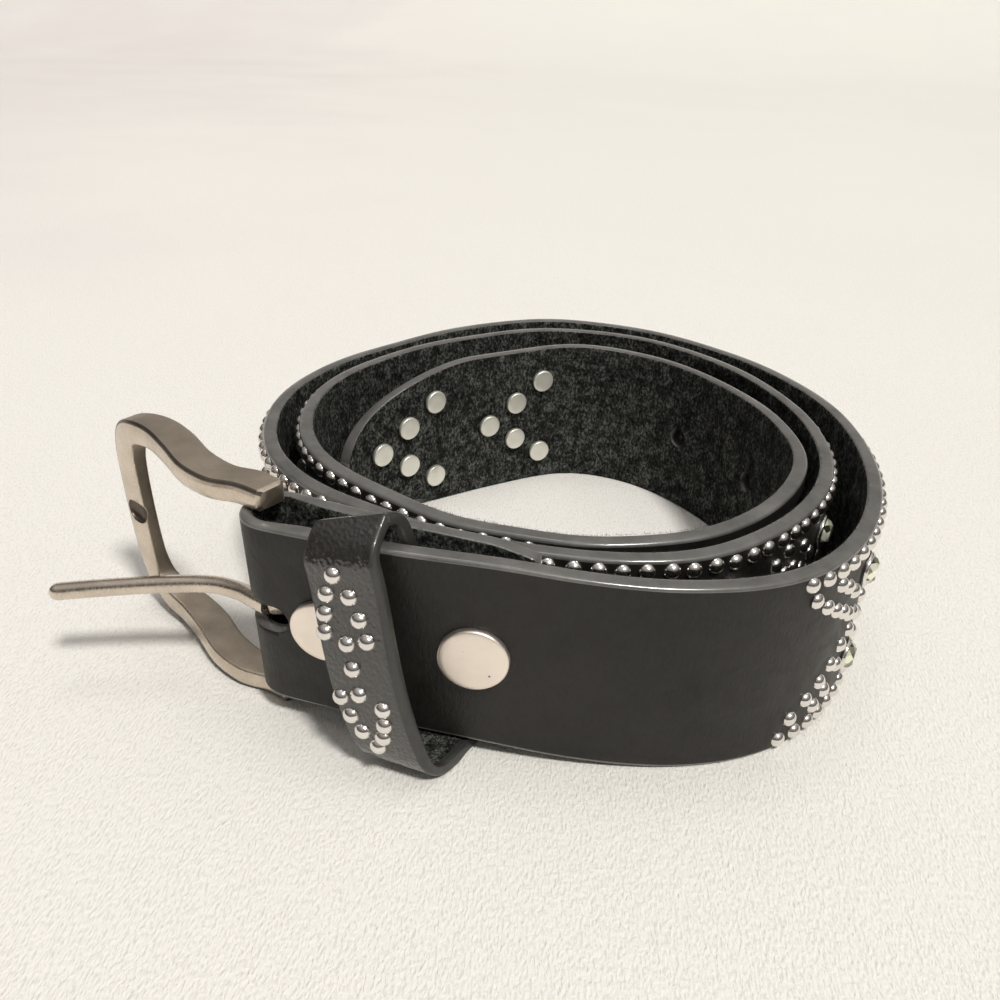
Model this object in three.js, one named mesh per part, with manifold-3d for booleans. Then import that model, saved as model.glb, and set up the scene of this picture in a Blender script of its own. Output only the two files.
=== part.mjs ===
// A studded leather belt, rolled into three turns and standing on its edge, with its buckle open.
// Millimetres, +Z up. The belt is built round the coil's upright middle axis, and at the end the
// group moves so that the origin lies on the floor under the middle of the whole belt.
// Outward on the strap means away from its flesh side, on the grain side, where the studs are.

import * as THREE from "three";
import { mergeVertices } from "three/addons/utils/BufferGeometryUtils.js";
import Module from "manifold-3d";

const wasm = await Module();
wasm.setup();

const { degToRad } = THREE.MathUtils;

// Driving dimensions
const clearance = 0.3; // between pieces that touch on the real belt
const coilReach = 70; // from the coil's middle to the outer turn, where the tables below say 1
const strap = { width: 38, thickness: 3.1, bevel: 0.6, foldStep: 2.4 };
const tip = { length: 42, roundness: 0.62, step: 3.2 };
const fold = { at: 229.7, lean: 4, gap: 6.9, thickness: 2.3 }; // gap is between the two walls
const flapEndAt = 264.5;
const hole = { diameter: 5, pitch: 29, count: 5, fromTip: 108.3 };
const frame = { depth: 6.4, width: 4.1, bevel: 0.7, reach: 47, barDiameter: 4.2, swing: 21 };
const tongue = { diameter: 3.7, reach: 46, ringWall: 1.4, swing: 15 };
const slot = { height: 5.6, past: 2.6 };
const keeper = { width: 12.3, thickness: 2.1, fromFold: 22.8, room: 2, stand: 7.4 };
// How the keeper leans: mm along the strap, outward or upward for each mm the other way
const keeperLean = { outToBack: 0.48, upToBack: 0.33, alongToOut: 0.16, alongToUp: 0.25 };
const snap = { capDiameter: 12.4, capHeight: 1.5, socketDiameter: 7.2, socketHeight: 2.2 };
const snapShank = { diameter: 4.4, studDiameter: 3.2, plateDiameter: 8, plateHeight: 0.5 };
const snapFromFold = [10.6, 36.7];
const stone = { settingDiameter: 6.8, rim: 0.9, stoneDiameter: 6, tableDiameter: 3.5, height: 1.9 };
const pattern = { firstFromFold: 118, pitch: 32.4, fromMiddle: 9.9, pairs: 20, facets: 5 };
const rivet = { backDiameter: 5.8, backHeight: 1.2, headDiameter: 5, headHeight: 1.3, shank: 2.4 };
const chevron = { fromTip: [11.9, 45.9], step: 8.2, rise: 5.2 };

// Sizes that follow
const half = strap.width / 2;
const turnRoom = stone.height + clearance; // what a stone needs between two turns
const barRadius = frame.barDiameter / 2;
const frameHalf = half + 1.5 * clearance + frame.width;
const leanIn = Math.sin(degToRad(fold.lean));
const foldLift = frameHalf + (frame.depth / 2) * leanIn - half; // the buckle stands on the floor

// Turn one, from the fold: degrees round the coil's middle, reach as a share of coilReach
const TURN_ONE = [
  { at: 222, reach: 1.243 },
  { at: 229, reach: 1.168 },
  { at: 236, reach: 1.115 },
  { at: 243, reach: 1.069 },
  { at: 250, reach: 1.037 },
  { at: 257, reach: 1.013 },
  { at: 264, reach: 1.009 },
  { at: 277, reach: 1.021 },
  { at: 291, reach: 1.06 },
  { at: 303, reach: 1.077 },
  { at: 316, reach: 1.044 },
  { at: 330, reach: 0.997 },
  { at: 345, reach: 0.959 },
  { at: 360, reach: 0.941 },
  { at: 380, reach: 0.941 },
  { at: 400, reach: 0.954 },
  { at: 420, reach: 0.993 },
  { at: 443, reach: 1.025 },
  { at: 454, reach: 1.013 },
  { at: 466, reach: 0.974 },
  { at: 479, reach: 0.928 },
  { at: 493, reach: 0.897 },
  { at: 507, reach: 0.901 },
  { at: 530, reach: 0.93 },
  { at: 560, reach: 0.946 },
  { at: 574, reach: 0.927 },
  { at: 589, reach: 0.88 },
];

// The turns inside it: layers of leather between a turn and the one a full turn before it (two
// where the flap lies between them), and the room between them as a share of turnRoom
const INNER_TURNS = [
  { at: 589, layers: 2, room: 6.4 },
  { at: 596, layers: 2, room: 5 },
  { at: 603, layers: 2, room: 3.45 },
  { at: 610, layers: 2, room: 2.5 },
  { at: 617, layers: 2, room: 1.95 },
  { at: 625, layers: 2, room: 1.46 },
  { at: 632, layers: 1, room: 2.5 },
  { at: 651, layers: 1, room: 3.2 },
  { at: 663, layers: 1, room: 4.4 },
  { at: 676, layers: 1, room: 4 },
  { at: 690, layers: 1, room: 3.05 },
  { at: 705, layers: 1, room: 2.5 },
  { at: 740, layers: 1, room: 2.5 },
  { at: 780, layers: 1, room: 1.9 },
  { at: 826, layers: 1, room: 2.4 },
  { at: 853, layers: 1, room: 1.4 },
  { at: 890, layers: 1, room: 1.65 },
  { at: 934, layers: 1, room: 2.2 },
  { at: 956, layers: 1, room: 1.05 },
  { at: 977, layers: 1, room: 0.66 },
  { at: 990, layers: 1, room: 0.85 },
  { at: 1005, layers: 1, room: 1.5 },
  { at: 1023, layers: 1, room: 1.15 },
  { at: 1050, layers: 1, room: 1.02 },
  { at: 1063, layers: 1, room: 1.05 },
  { at: 1076, layers: 1, room: 1.6 },
  { at: 1108, layers: 1, room: 2.8 },
  { at: 1136, layers: 1, room: 3.9 },
  { at: 1160, layers: 1, room: 4.7 },
  { at: 1180, layers: 1, room: 5.8 },
  { at: 1210, layers: 1, room: 5 },
  { at: 1230, layers: 1, room: 4 },
  { at: 1242, layers: 1, room: 2.2 },
  { at: 1252, layers: 1, room: 0.5 },
];

// How the buckle end is held off the floor: lift and lean as shares of foldLift and fold.lean
const RISE = [
  { at: 229, lift: 1, lean: 1 },
  { at: 236, lift: 0.95, lean: 0.95 },
  { at: 250, lift: 0.78, lean: 0.6 },
  { at: 260, lift: 0.58, lean: 0.25 },
  { at: 270, lift: 0.33, lean: 0.08 },
  { at: 282, lift: 0.08, lean: 0 },
  { at: 292, lift: 0, lean: 0 },
];

// The flap behind the front stretch: its distance from it as a share of fold.gap
const FLAP = [
  { at: 229, gap: 1 },
  { at: 236, gap: 0.87 },
  { at: 243, gap: 0.75 },
  { at: 250, gap: 0.62 },
  { at: 254.5, gap: 0.5 },
  { at: 258.5, gap: 0.41 },
  { at: 261.5, gap: 0.24 },
  { at: 264.5, gap: 0.07 },
];

// One arm of the buckle, from the bar to the middle of the leg. Out and up are shares of
// frame.reach and frameHalf; forward, depth and width are shares of frame.depth and frame.width.
const ARM = [
  { out: -0.035, up: 1, forward: 0, depth: 0.9, width: 1 },
  { out: 0.08, up: 1, forward: 0.1, depth: 1, width: 1 },
  { out: 0.2, up: 0.99, forward: 0.4, depth: 1.05, width: 1 },
  { out: 0.36, up: 0.985, forward: 0.4, depth: 1.1, width: 1.02 },
  { out: 0.54, up: 0.98, forward: 0.1, depth: 1.1, width: 1.06 },
  { out: 0.7, up: 0.98, forward: -0.05, depth: 0.98, width: 1.12 },
  { out: 0.83, up: 0.95, forward: 0, depth: 0.82, width: 1.22 },
  { out: 0.93, up: 0.85, forward: 0, depth: 0.66, width: 1.38 },
  { out: 0.98, up: 0.64, forward: 0, depth: 0.56, width: 1.5 },
  { out: 0.995, up: 0.36, forward: 0, depth: 0.52, width: 1.55 },
  { out: 1, up: 0, forward: 0, depth: 0.5, width: 1.6 },
];

// The tongue's middle line seen along the bar: out along its own direction, aside towards the
// front, and down, all as shares of tongue.reach
const TONGUE = [
  { out: 0.026, aside: 0.075, down: 0 },
  { out: 0.088, aside: 0.025, down: 0.015 },
  { out: 0.187, aside: -0.05, down: 0.035 },
  { out: 0.308, aside: -0.09, down: 0.042 },
  { out: 0.47, aside: -0.082, down: 0.045 },
  { out: 0.73, aside: -0.04, down: 0.052 },
  { out: 1, aside: 0.01, down: 0.065 },
];

const lastRow = (rows) => rows[rows.length - 1];
const fullTurn = 360; // degrees from a place to the same place one turn further in
const riseEnd = lastRow(RISE).at; // from here on the strap stands on the floor

// Reads one column of a table at any place, on a smooth curve through its rows.
function tableAt(rows, at, column) {
  const last = rows.length - 1;
  const next = Math.min(Math.max(rows.findIndex((row) => row.at > at), 0) || last, last);
  const index = at <= rows[0].at ? 1 : next;
  const row = (i) => rows[Math.min(Math.max(i, 0), last)];
  const slope = (i) =>
    (row(i + 1)[column] - row(i - 1)[column]) / Math.max(row(i + 1).at - row(i - 1).at, 1);
  const a = row(index - 1);
  const b = row(index);
  const span = b.at - a.at;
  const t = Math.min(Math.max((at - a.at) / span, 0), 1);
  const u = 1 - t;
  return (
    u * u * (1 + 2 * t) * a[column] +
    t * t * (1 + 2 * u) * b[column] +
    t * u * (u * slope(index - 1) - t * slope(index)) * span
  );
}

// From the coil's middle to the strap's outer face.
function reachAt(at) {
  if (at <= lastRow(TURN_ONE).at) return coilReach * tableAt(TURN_ONE, at, "reach");
  const leather = strap.thickness * tableAt(INNER_TURNS, at, "layers");
  return reachAt(at - fullTurn) - leather - turnRoom * tableAt(INNER_TURNS, at, "room");
}

// The same, evened out over a few degrees either way, as stiff leather is.
const evenReachAt = (at) =>
  [-2, -1, -1, 0, 0, 0, 1, 1, 2].reduce((sum, k) => sum + reachAt(at + 4 * k), 0) / 9;

const plan = (at) =>
  new THREE.Vector2(Math.cos(degToRad(at)), Math.sin(degToRad(at))).multiplyScalar(evenReachAt(at));

const leftOf = (v) => new THREE.Vector2(-v.y, v.x);

const alongAt = (at) =>
  plan(at + 0.5)
    .sub(plan(at - 0.5))
    .normalize();

// The route of the strap's outer face at mid height, from the flap's end to the tip. Each point
// has its lift off the floor and its tilt: how far it moves in plan for each mm of height.
function strapRoute() {
  const points = [];
  const add = (point, at, tiltWay) => {
    const lean = at < riseEnd ? degToRad(fold.lean) * tableAt(RISE, at, "lean") : 0;
    const lift = at < riseEnd ? foldLift * tableAt(RISE, at, "lift") : 0;
    points.push({ point, lift, tilt: tiltWay.clone().multiplyScalar(Math.tan(lean)) });
  };
  const outward = (at) => leftOf(alongAt(at)).negate();
  for (let at = flapEndAt; at > fold.at; at -= 1.5) {
    const inset = 2 * strap.thickness + fold.gap * tableAt(FLAP, at, "gap");
    add(plan(at).addScaledVector(outward(at), -inset), at, outward(at));
  }
  const flapPoints = points.length;
  const out = outward(fold.at);
  const radius = strap.thickness + fold.gap / 2;
  const centre = plan(fold.at).addScaledVector(out, -radius);
  const bends = 12;
  for (let i = 0; i <= bends; i += 1) {
    const turn = (Math.PI * i) / bends;
    const point = centre
      .clone()
      .addScaledVector(out, -radius * Math.cos(turn))
      .addScaledVector(alongAt(fold.at), -radius * Math.sin(turn));
    add(point, fold.at, out);
  }
  const foldPoints = points.length;
  for (let at = fold.at + 1; at <= lastRow(INNER_TURNS).at; at += 1) add(plan(at), at, outward(at));
  let length = 0;
  points.forEach((entry, i) => {
    if (i > 0) length += entry.point.distanceTo(points[i - 1].point);
    entry.length = length;
  });
  const foldStart = points[flapPoints].length;
  return { points, centre, out, foldStart, frontStart: points[foldPoints - 1].length, length };
}

const route = strapRoute();

// A place on the strap's outer face at mid height: its point, the way along, outward and up.
function strapPlace(length) {
  const { points } = route;
  const found = points.findIndex((entry) => entry.length > length);
  const index = found < 0 ? points.length - 1 : Math.max(found, 1);
  const before = points[index - 1];
  const after = points[index];
  const share = (length - before.length) / (after.length - before.length);
  const mix = (a, b) => a.clone().lerp(b, share);
  const point = mix(before.point, after.point);
  const way = (i) => {
    const from = points[Math.max(i - 1, 0)].point;
    const to = points[Math.min(i + 1, points.length - 1)].point;
    return to.clone().sub(from).normalize();
  };
  const along = mix(way(index - 1), way(index)).normalize();
  const tilt = mix(before.tilt, after.tilt);
  const middle = half + THREE.MathUtils.lerp(before.lift, after.lift, share);
  const up = new THREE.Vector3(tilt.x, tilt.y, 1);
  return {
    point: new THREE.Vector3(point.x, point.y, middle),
    along: new THREE.Vector3(along.x, along.y, 0),
    out: new THREE.Vector3(along.y, -along.x, 0),
    up,
  };
}

// A frame of axes on the strap for a piece that stands on its outer face, z pointing outward.
function placeOnStrap(length, height = 0) {
  const { point, along, up } = strapPlace(length);
  const upward = up.clone().normalize();
  const outward = along.clone().cross(upward).normalize();
  const basis = new THREE.Matrix4().makeBasis(along, upward, outward);
  return basis.setPosition(point.clone().addScaledVector(up, height));
}

// Half the strap's width, less towards the tip.
function halfWidthAt(length) {
  const left = (route.length - length) / tip.length;
  if (left >= 1) return half;
  return half * Math.max(1 - (1 - left) ** 2, 0.004) ** tip.roundness;
}

// The strap's thickness, pared down where it folds round the bar.
function thicknessAt(length) {
  const { foldStart, frontStart } = route;
  const away = Math.max(foldStart - length, length - frontStart, 0) / fold.gap;
  return THREE.MathUtils.lerp(fold.thickness, strap.thickness, Math.min(away, 1));
}

// A closed solid through rings of points, with flat ends.
function loft(rings) {
  const count = rings[0].length;
  const positions = rings.flat().flatMap((p) => [p.x, p.y, p.z]);
  const index = [];
  for (let r = 0; r + 1 < rings.length; r += 1) {
    for (let i = 0; i < count; i += 1) {
      const j = (i + 1) % count;
      const [a, b] = [r * count + i, r * count + j];
      const [c, d] = [a + count, b + count];
      index.push(a, b, d, a, d, c);
    }
  }
  const end = (rings.length - 1) * count;
  for (let i = 1; i + 1 < count; i += 1) {
    index.push(0, i + 1, i);
    index.push(end, end + i, end + i + 1);
  }
  const geometry = new THREE.BufferGeometry();
  geometry.setAttribute("position", new THREE.Float32BufferAttribute(positions, 3));
  geometry.setIndex(index);
  return geometry;
}

// Booleans: a geometry as a solid, and a solid as a geometry.
function solid(geometry) {
  const bare = geometry.clone();
  bare.deleteAttribute("normal");
  bare.deleteAttribute("uv");
  const merged = mergeVertices(bare, 1e-4);
  const made = new wasm.Manifold(
    new wasm.Mesh({
      numProp: 3,
      vertProperties: merged.attributes.position.array,
      triVerts: new Uint32Array(merged.index.array),
    }),
  );
  if (made.volume() > 0) return made;
  const turned = new Uint32Array(merged.index.array).reverse();
  return new wasm.Manifold(
    new wasm.Mesh({
      numProp: 3,
      vertProperties: merged.attributes.position.array,
      triVerts: turned,
    }),
  );
}

function geometryOf(made) {
  const mesh = made.getMesh();
  const geometry = new THREE.BufferGeometry();
  const positions = new THREE.BufferAttribute(mesh.vertProperties, 3);
  geometry.setAttribute("position", positions);
  geometry.setIndex(new THREE.BufferAttribute(mesh.triVerts, 1));
  geometry.computeVertexNormals();
  return geometry;
}

// A turned piece about its own z axis, from pairs of radius and height.
function turned(profile, sides) {
  const outline = profile.map(([radius, height]) => new THREE.Vector2(radius, height));
  const lathe = new THREE.LatheGeometry(outline, sides).rotateX(Math.PI / 2);
  return geometryOf(solid(lathe));
}

const materials = {
  leather: { color: 0x1c1b1b, roughness: 0.5, metalness: 0 },
  metal: { color: 0xb9ae9f, roughness: 0.35, metalness: 1 },
  snap: { color: 0xcdbfb6, roughness: 0.5, metalness: 0.8 },
  stud: { color: 0xd9d5cf, roughness: 0.25, metalness: 1 },
  stone: { color: 0xd8dabf, roughness: 0.08, metalness: 0.1 },
};

const belt = new THREE.Group();

function addMesh(name, geometry, material, parent = belt) {
  const mesh = new THREE.Mesh(geometry, new THREE.MeshStandardMaterial(materials[material]));
  mesh.name = name;
  parent.add(mesh);
  return mesh;
}

// The strap
function strapRing(length) {
  const { point, out, up } = strapPlace(length);
  const high = halfWidthAt(length);
  const bevel = Math.min(strap.bevel, high / 2);
  const thick = thicknessAt(length);
  const corners = [
    [0, bevel - high],
    [0, high - bevel],
    [-bevel, high],
    [bevel - thick, high],
    [-thick, high - bevel],
    [-thick, bevel - high],
    [bevel - thick, -high],
    [-bevel, -high],
  ];
  return corners.map(([outward, height]) =>
    point.clone().addScaledVector(out, outward).addScaledVector(up, height),
  );
}

// Where the strap's rings lie: each stone stands on the middle of one flat facet.
function strapLengths() {
  const lengths = [];
  const { foldStart, frontStart, length: end } = route;
  const run = (from, to, step) => {
    const count = Math.max(Math.round((to - from) / step), 1);
    for (let i = 0; i < count; i += 1) lengths.push(from + ((to - from) * i) / count);
  };
  const facet = pattern.pitch / pattern.facets;
  const atStone = frontStart + pattern.firstFromFold - facet / 2;
  const firstFacet = atStone - facet * Math.floor((atStone - frontStart) / facet);
  const lastFacet = firstFacet + facet * Math.floor((end - tip.length - firstFacet) / facet);
  run(0, foldStart, facet);
  run(foldStart, firstFacet, strap.foldStep);
  run(firstFacet, lastFacet, facet);
  run(lastFacet, end - tip.length, facet);
  run(end - tip.length, end - tip.step, tip.step);
  run(end - tip.step, end, tip.step / 4);
  lengths.push(end);
  return lengths;
}

const chevronPlaces = chevron.fromTip.flatMap((fromTip) =>
  [-2, -1, 0, 1, 2].map((arm) => ({
    length: route.length - fromTip - chevron.step * Math.abs(arm),
    height: chevron.rise * arm,
  })),
);

// A pin square to the strap's outer face, between two depths under it.
function pin(length, height, diameter, from, to, sides = 10) {
  const post = new THREE.CylinderGeometry(diameter / 2, diameter / 2, to - from, sides);
  post.rotateX(Math.PI / 2).translate(0, 0, -(from + to) / 2);
  return solid(post.applyMatrix4(placeOnStrap(length, height)));
}

// A hole's cutter, through one wall of the strap.
const drill = (length, height, diameter, sides) =>
  pin(length, height, diameter, -strap.thickness, 2 * strap.thickness, sides);

// Where a line straight in from a place on the front stretch meets the flap behind it.
function flapLength(frontLength) {
  const { point, along } = strapPlace(frontLength);
  let best = 0;
  let nearest = Infinity;
  for (let length = 0; length < route.foldStart; length += 0.25) {
    const apart = Math.abs(strapPlace(length).point.clone().sub(point).dot(along));
    if (apart < nearest) [best, nearest] = [length, apart];
  }
  return best;
}

const snapPlaces = snapFromFold.map((fromFold) => {
  const front = route.frontStart + fromFold;
  const flap = flapLength(front);
  const apart = strapPlace(front).point.distanceTo(strapPlace(flap).point);
  return { front, flap, gap: apart - 2 * strap.thickness };
});

// The buckle's own axes: z along the bar, x out from the strap's end, y towards the front.
const barAxis = new THREE.Vector3(route.out.x, route.out.y, 0)
  .multiplyScalar(Math.tan(degToRad(fold.lean)))
  .add(new THREE.Vector3(0, 0, 1))
  .normalize();
const strapEnd = alongAt(fold.at).negate();
const barSeat = fold.thickness + clearance + barRadius;
const barPoint = route.centre
  .clone()
  .addScaledVector(strapEnd, strap.thickness + fold.gap / 2 - barSeat);
const endward = new THREE.Vector3(strapEnd.x, strapEnd.y, 0);
const frontward = barAxis.clone().cross(endward).normalize();
const buckleBasis = new THREE.Matrix4()
  .makeBasis(endward, frontward, barAxis)
  .setPosition(barPoint.x, barPoint.y, half + foldLift);

function buckleSlot() {
  const long = strap.thickness + fold.gap / 2 + slot.past;
  const outline = new THREE.Shape();
  const round = slot.height / 2;
  outline.moveTo(long, -round);
  outline.lineTo(long, round);
  outline.lineTo(0, round);
  outline.absarc(0, 0, round, Math.PI / 2, (3 * Math.PI) / 2, false);
  outline.closePath();
  const deep = 4 * strap.thickness + fold.gap;
  const settings = { depth: deep, bevelEnabled: false, curveSegments: 6 };
  const cutter = new THREE.ExtrudeGeometry(outline, settings);
  cutter.translate(-slot.past, 0, -deep / 2).rotateX(Math.PI / 2);
  return solid(cutter.applyMatrix4(buckleBasis));
}

function makeStrap() {
  let leather = solid(loft(strapLengths().map(strapRing)));
  leather = leather.subtract(buckleSlot());
  for (let i = 0; i < hole.count; i += 1) {
    const length = route.length - hole.fromTip - i * hole.pitch;
    leather = leather.subtract(drill(length, 0, hole.diameter, 12));
  }
  const shankHole = rivet.shank + 2 * clearance;
  for (const { length, height } of chevronPlaces) {
    leather = leather.subtract(drill(length, height, shankHole, 8));
  }
  for (const { front, gap } of snapPlaces) {
    const through = strap.thickness + gap / 2;
    const [wide, narrow] = [snapShank.diameter, snapShank.studDiameter];
    leather = leather.subtract(pin(front, 0, wide + 2 * clearance, -through, through));
    leather = leather.subtract(pin(front, 0, narrow + 2 * clearance, through, 3 * through));
  }
  return geometryOf(leather);
}

addMesh("strap", makeStrap(), "leather");

// The keeper: a loop round the front wall only, which leans and stands off the strap below
// Its outline across the strap, x outward and y up; grow moves it out from the inner face.
function keeperOutline(grow) {
  const back = -strap.thickness - clearance - grow;
  const topOut = keeper.room + grow;
  const bottomOut = keeper.stand + grow;
  const bend = keeper.room + grow;
  const wideBend = 1.5 * bend;
  const high = half + keeper.room + grow;
  const low = -half - 0.4 * keeper.room - grow;
  const shoulder = high - 0.2 * half - 1.5 * grow;
  const bulge = { out: THREE.MathUtils.lerp(topOut, bottomOut, 0.22), up: 0.4 * half };
  const rise = (high - shoulder) / 2;
  const easeIn = (rise * (bulge.out - topOut)) / (shoulder - bulge.up);
  const outline = new THREE.Shape();
  outline.moveTo(back, high - bend);
  outline.lineTo(back, low + bend);
  outline.quadraticCurveTo(back, low, back + bend, low);
  outline.lineTo(bottomOut - wideBend, low);
  outline.quadraticCurveTo(bottomOut, low, bottomOut, low + wideBend);
  outline.bezierCurveTo(bottomOut, -0.1 * half, bulge.out, bulge.up, topOut, shoulder);
  outline.bezierCurveTo(topOut - easeIn, shoulder + rise, back / 3, high, back + bend, high);
  outline.quadraticCurveTo(back, high, back, high - bend);
  return outline;
}

function makeKeeper() {
  const band = keeperOutline(keeper.thickness);
  band.holes.push(keeperOutline(0));
  const settings = { depth: keeper.width, steps: 3, bevelEnabled: false, curveSegments: 7 };
  const geometry = new THREE.ExtrudeGeometry(band, settings);
  geometry.translate(0, 0, -keeper.width / 2);
  const corners = geometry.attributes.position;
  for (let i = 0; i < corners.count; i += 1) {
    const [o, u, a] = [corners.getX(i), corners.getY(i), corners.getZ(i)];
    const along = a - keeperLean.outToBack * o - keeperLean.upToBack * u;
    const place = strapPlace(route.frontStart + keeper.fromFold + along);
    const outward = o + keeperLean.alongToOut * a * THREE.MathUtils.clamp(o / keeper.room, 0, 1);
    const upward = u + (keeperLean.alongToUp * a * Math.max(u, 0)) / half;
    const corner = place.point.addScaledVector(place.out, outward).addScaledVector(place.up, upward);
    corners.setXYZ(i, corner.x, corner.y, corner.z);
  }
  return geometryOf(solid(geometry));
}

addMesh("keeper", makeKeeper(), "leather");

// The buckle, in its own axes and swung back about the bar
const buckle = new THREE.Group();
buckle.applyMatrix4(buckleBasis);
belt.add(buckle);

function armRing(row, before, after) {
  const centre = (r) =>
    new THREE.Vector3(
      r.out * frame.reach,
      r.forward * frame.depth,
      r.up * (frameHalf - (r.width * frame.width) / 2),
    );
  const middle = centre(row);
  const along = centre(after).sub(centre(before)).setY(0).normalize();
  const across = new THREE.Vector3(-along.z, 0, along.x);
  const deep = (row.depth * frame.depth) / 2;
  const wide = (row.width * frame.width) / 2;
  const { bevel } = frame;
  const corners = [
    [deep - bevel, wide],
    [-deep + bevel, wide],
    [-deep, wide - bevel],
    [-deep, -wide + bevel],
    [-deep + bevel, -wide],
    [deep - bevel, -wide],
    [deep, -wide + bevel],
    [deep, wide - bevel],
  ];
  return corners.map(([y, w]) =>
    middle.clone().addScaledVector(across, w).add(new THREE.Vector3(0, y, 0)),
  );
}

// A smoother copy of a table, with rows added between its rows.
function refined(rows, between) {
  const keyed = rows.map((row, at) => ({ ...row, at }));
  const fine = [];
  for (let i = 0; i <= (rows.length - 1) * between; i += 1) {
    const at = i / between;
    const row = {};
    for (const column of Object.keys(rows[0])) row[column] = tableAt(keyed, at, column);
    fine.push(row);
  }
  return fine;
}

function makeFrame() {
  const arm = refined(ARM, 2);
  const lower = arm.slice(0, -1).reverse();
  const rows = [...arm, ...lower.map((row) => ({ ...row, up: -row.up }))];
  const rings = rows.map((row, i) => {
    const before = rows[Math.max(i - 1, 0)];
    const after = rows[Math.min(i + 1, rows.length - 1)];
    return armRing(row, before, after);
  });
  const bar = new THREE.CylinderGeometry(barRadius, barRadius, 2 * frameHalf - frame.width, 14);
  bar.rotateX(Math.PI / 2);
  return geometryOf(solid(loft(rings)).add(solid(bar)));
}

const frameMesh = addMesh("buckle_frame", makeFrame(), "metal", buckle);
frameMesh.rotation.z = -degToRad(frame.swing);

// The tongue, with its ring round the bar
function makeTongue() {
  const inner = barRadius + clearance;
  const outer = inner + tongue.ringWall;
  const high = tongue.diameter / 2;
  const ring = turned(
    [
      [inner, -high],
      [outer, -high],
      [outer, high],
      [inner, high],
      [inner, -high],
    ],
    18,
  );
  const points = TONGUE.map(({ out, aside, down }) =>
    new THREE.Vector3(out, aside, -down).multiplyScalar(tongue.reach),
  );
  const path = new THREE.CatmullRomCurve3(points, false, "centripetal");
  const section = new THREE.Shape();
  const sides = 10;
  for (let i = 0; i < sides; i += 1) {
    const turn = (2 * Math.PI * i) / sides;
    section[i ? "lineTo" : "moveTo"](high * Math.cos(turn), high * Math.sin(turn));
  }
  section.closePath();
  const settings = { extrudePath: path, steps: 22, bevelEnabled: false };
  const rod = solid(new THREE.ExtrudeGeometry(section, settings));
  const bore = new THREE.CylinderGeometry(inner, inner, 4 * high, 18).rotateX(Math.PI / 2);
  return geometryOf(solid(ring).add(rod).subtract(solid(bore)));
}

const tongueMesh = addMesh("tongue", makeTongue(), "metal", buckle);
tongueMesh.rotation.z = degToRad(tongue.swing);

// The snaps: a cap with its socket on the front wall, and a stud on the flap that enters it
function makeSnapCap(gap) {
  const cap = snap.capDiameter / 2;
  const shank = snapShank.diameter / 2;
  const socket = snap.socketDiameter / 2;
  const mouth = snapShank.studDiameter / 2 + clearance;
  const under = -strap.thickness - clearance;
  const bottom = under - Math.min(snap.socketHeight, gap - 2 * clearance);
  return turned(
    [
      [0, clearance + snap.capHeight],
      [cap * 0.9, clearance + snap.capHeight * 0.9],
      [cap, clearance + snap.capHeight * 0.55],
      [cap, clearance],
      [shank, clearance],
      [shank, under],
      [socket, under],
      [socket, bottom],
      [mouth, bottom],
      [mouth, under],
      [0, under],
    ],
    20,
  );
}

function makeSnapStud(front, flap, gap) {
  const plate = snapShank.plateDiameter / 2;
  const top = clearance + snapShank.plateHeight;
  const disc = turned(
    [
      [0, top],
      [plate, top],
      [plate, clearance],
      [0, clearance],
    ],
    14,
  ).applyMatrix4(placeOnStrap(flap));
  const from = strap.thickness + 2 * clearance;
  const to = 2 * strap.thickness + gap + clearance + snapShank.plateHeight / 2;
  return geometryOf(solid(disc).add(pin(front, 0, snapShank.studDiameter, from, to)));
}

snapPlaces.forEach(({ front, flap, gap }, i) => {
  const cap = addMesh(`snap_cap_${i + 1}`, makeSnapCap(gap), "snap");
  cap.applyMatrix4(placeOnStrap(front));
  addMesh(`snap_stud_${i + 1}`, makeSnapStud(front, flap, gap), "snap");
});

// The rivets of the two chevrons: a domed head outside, a flat back inside, one shank
function makeRivet() {
  const head = rivet.headDiameter / 2;
  const back = rivet.backDiameter / 2;
  const shank = rivet.shank / 2;
  const inside = -strap.thickness - clearance;
  return turned(
    [
      [0, clearance + rivet.headHeight],
      [head * 0.6, clearance + rivet.headHeight * 0.8],
      [head, clearance],
      [shank, clearance],
      [shank, inside],
      [back, inside],
      [back, inside - rivet.backHeight],
      [0, inside - rivet.backHeight],
    ],
    10,
  );
}

const twoDigits = (number) => String(number).padStart(2, "0");

chevronPlaces.forEach(({ length, height }, i) => {
  const rivetMesh = addMesh(`rivet_${twoDigits(i + 1)}`, makeRivet(), "stud");
  rivetMesh.applyMatrix4(placeOnStrap(length, height));
});

// The cut stones, each fused to its metal setting
function makeStone() {
  const setting = stone.settingDiameter / 2;
  const girdle = stone.stoneDiameter / 2;
  const table = stone.tableDiameter / 2;
  return turned(
    [
      [0, clearance],
      [setting, clearance],
      [setting, clearance + stone.rim],
      [girdle, clearance + stone.rim],
      [table, clearance + stone.height],
      [0, clearance + stone.height],
    ],
    8,
  );
}

for (let i = 0; i < pattern.pairs; i += 1) {
  const length = route.frontStart + pattern.firstFromFold + i * pattern.pitch;
  const sides = { a: pattern.fromMiddle, b: -pattern.fromMiddle };
  for (const [side, height] of Object.entries(sides)) {
    const mesh = addMesh(`stone_${twoDigits(i + 1)}_${side}`, makeStone(), "stone");
    mesh.applyMatrix4(placeOnStrap(length, height));
  }
}

// The origin goes under the middle of the whole belt.
const box = new THREE.Box3().setFromObject(belt, true);
const middle = box.getCenter(new THREE.Vector3());
belt.position.set(-middle.x, -middle.y, -box.min.z);

export default belt;
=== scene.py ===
import math
import random

import bmesh
import bpy
import numpy as np
from mathutils import Matrix, Vector


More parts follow.
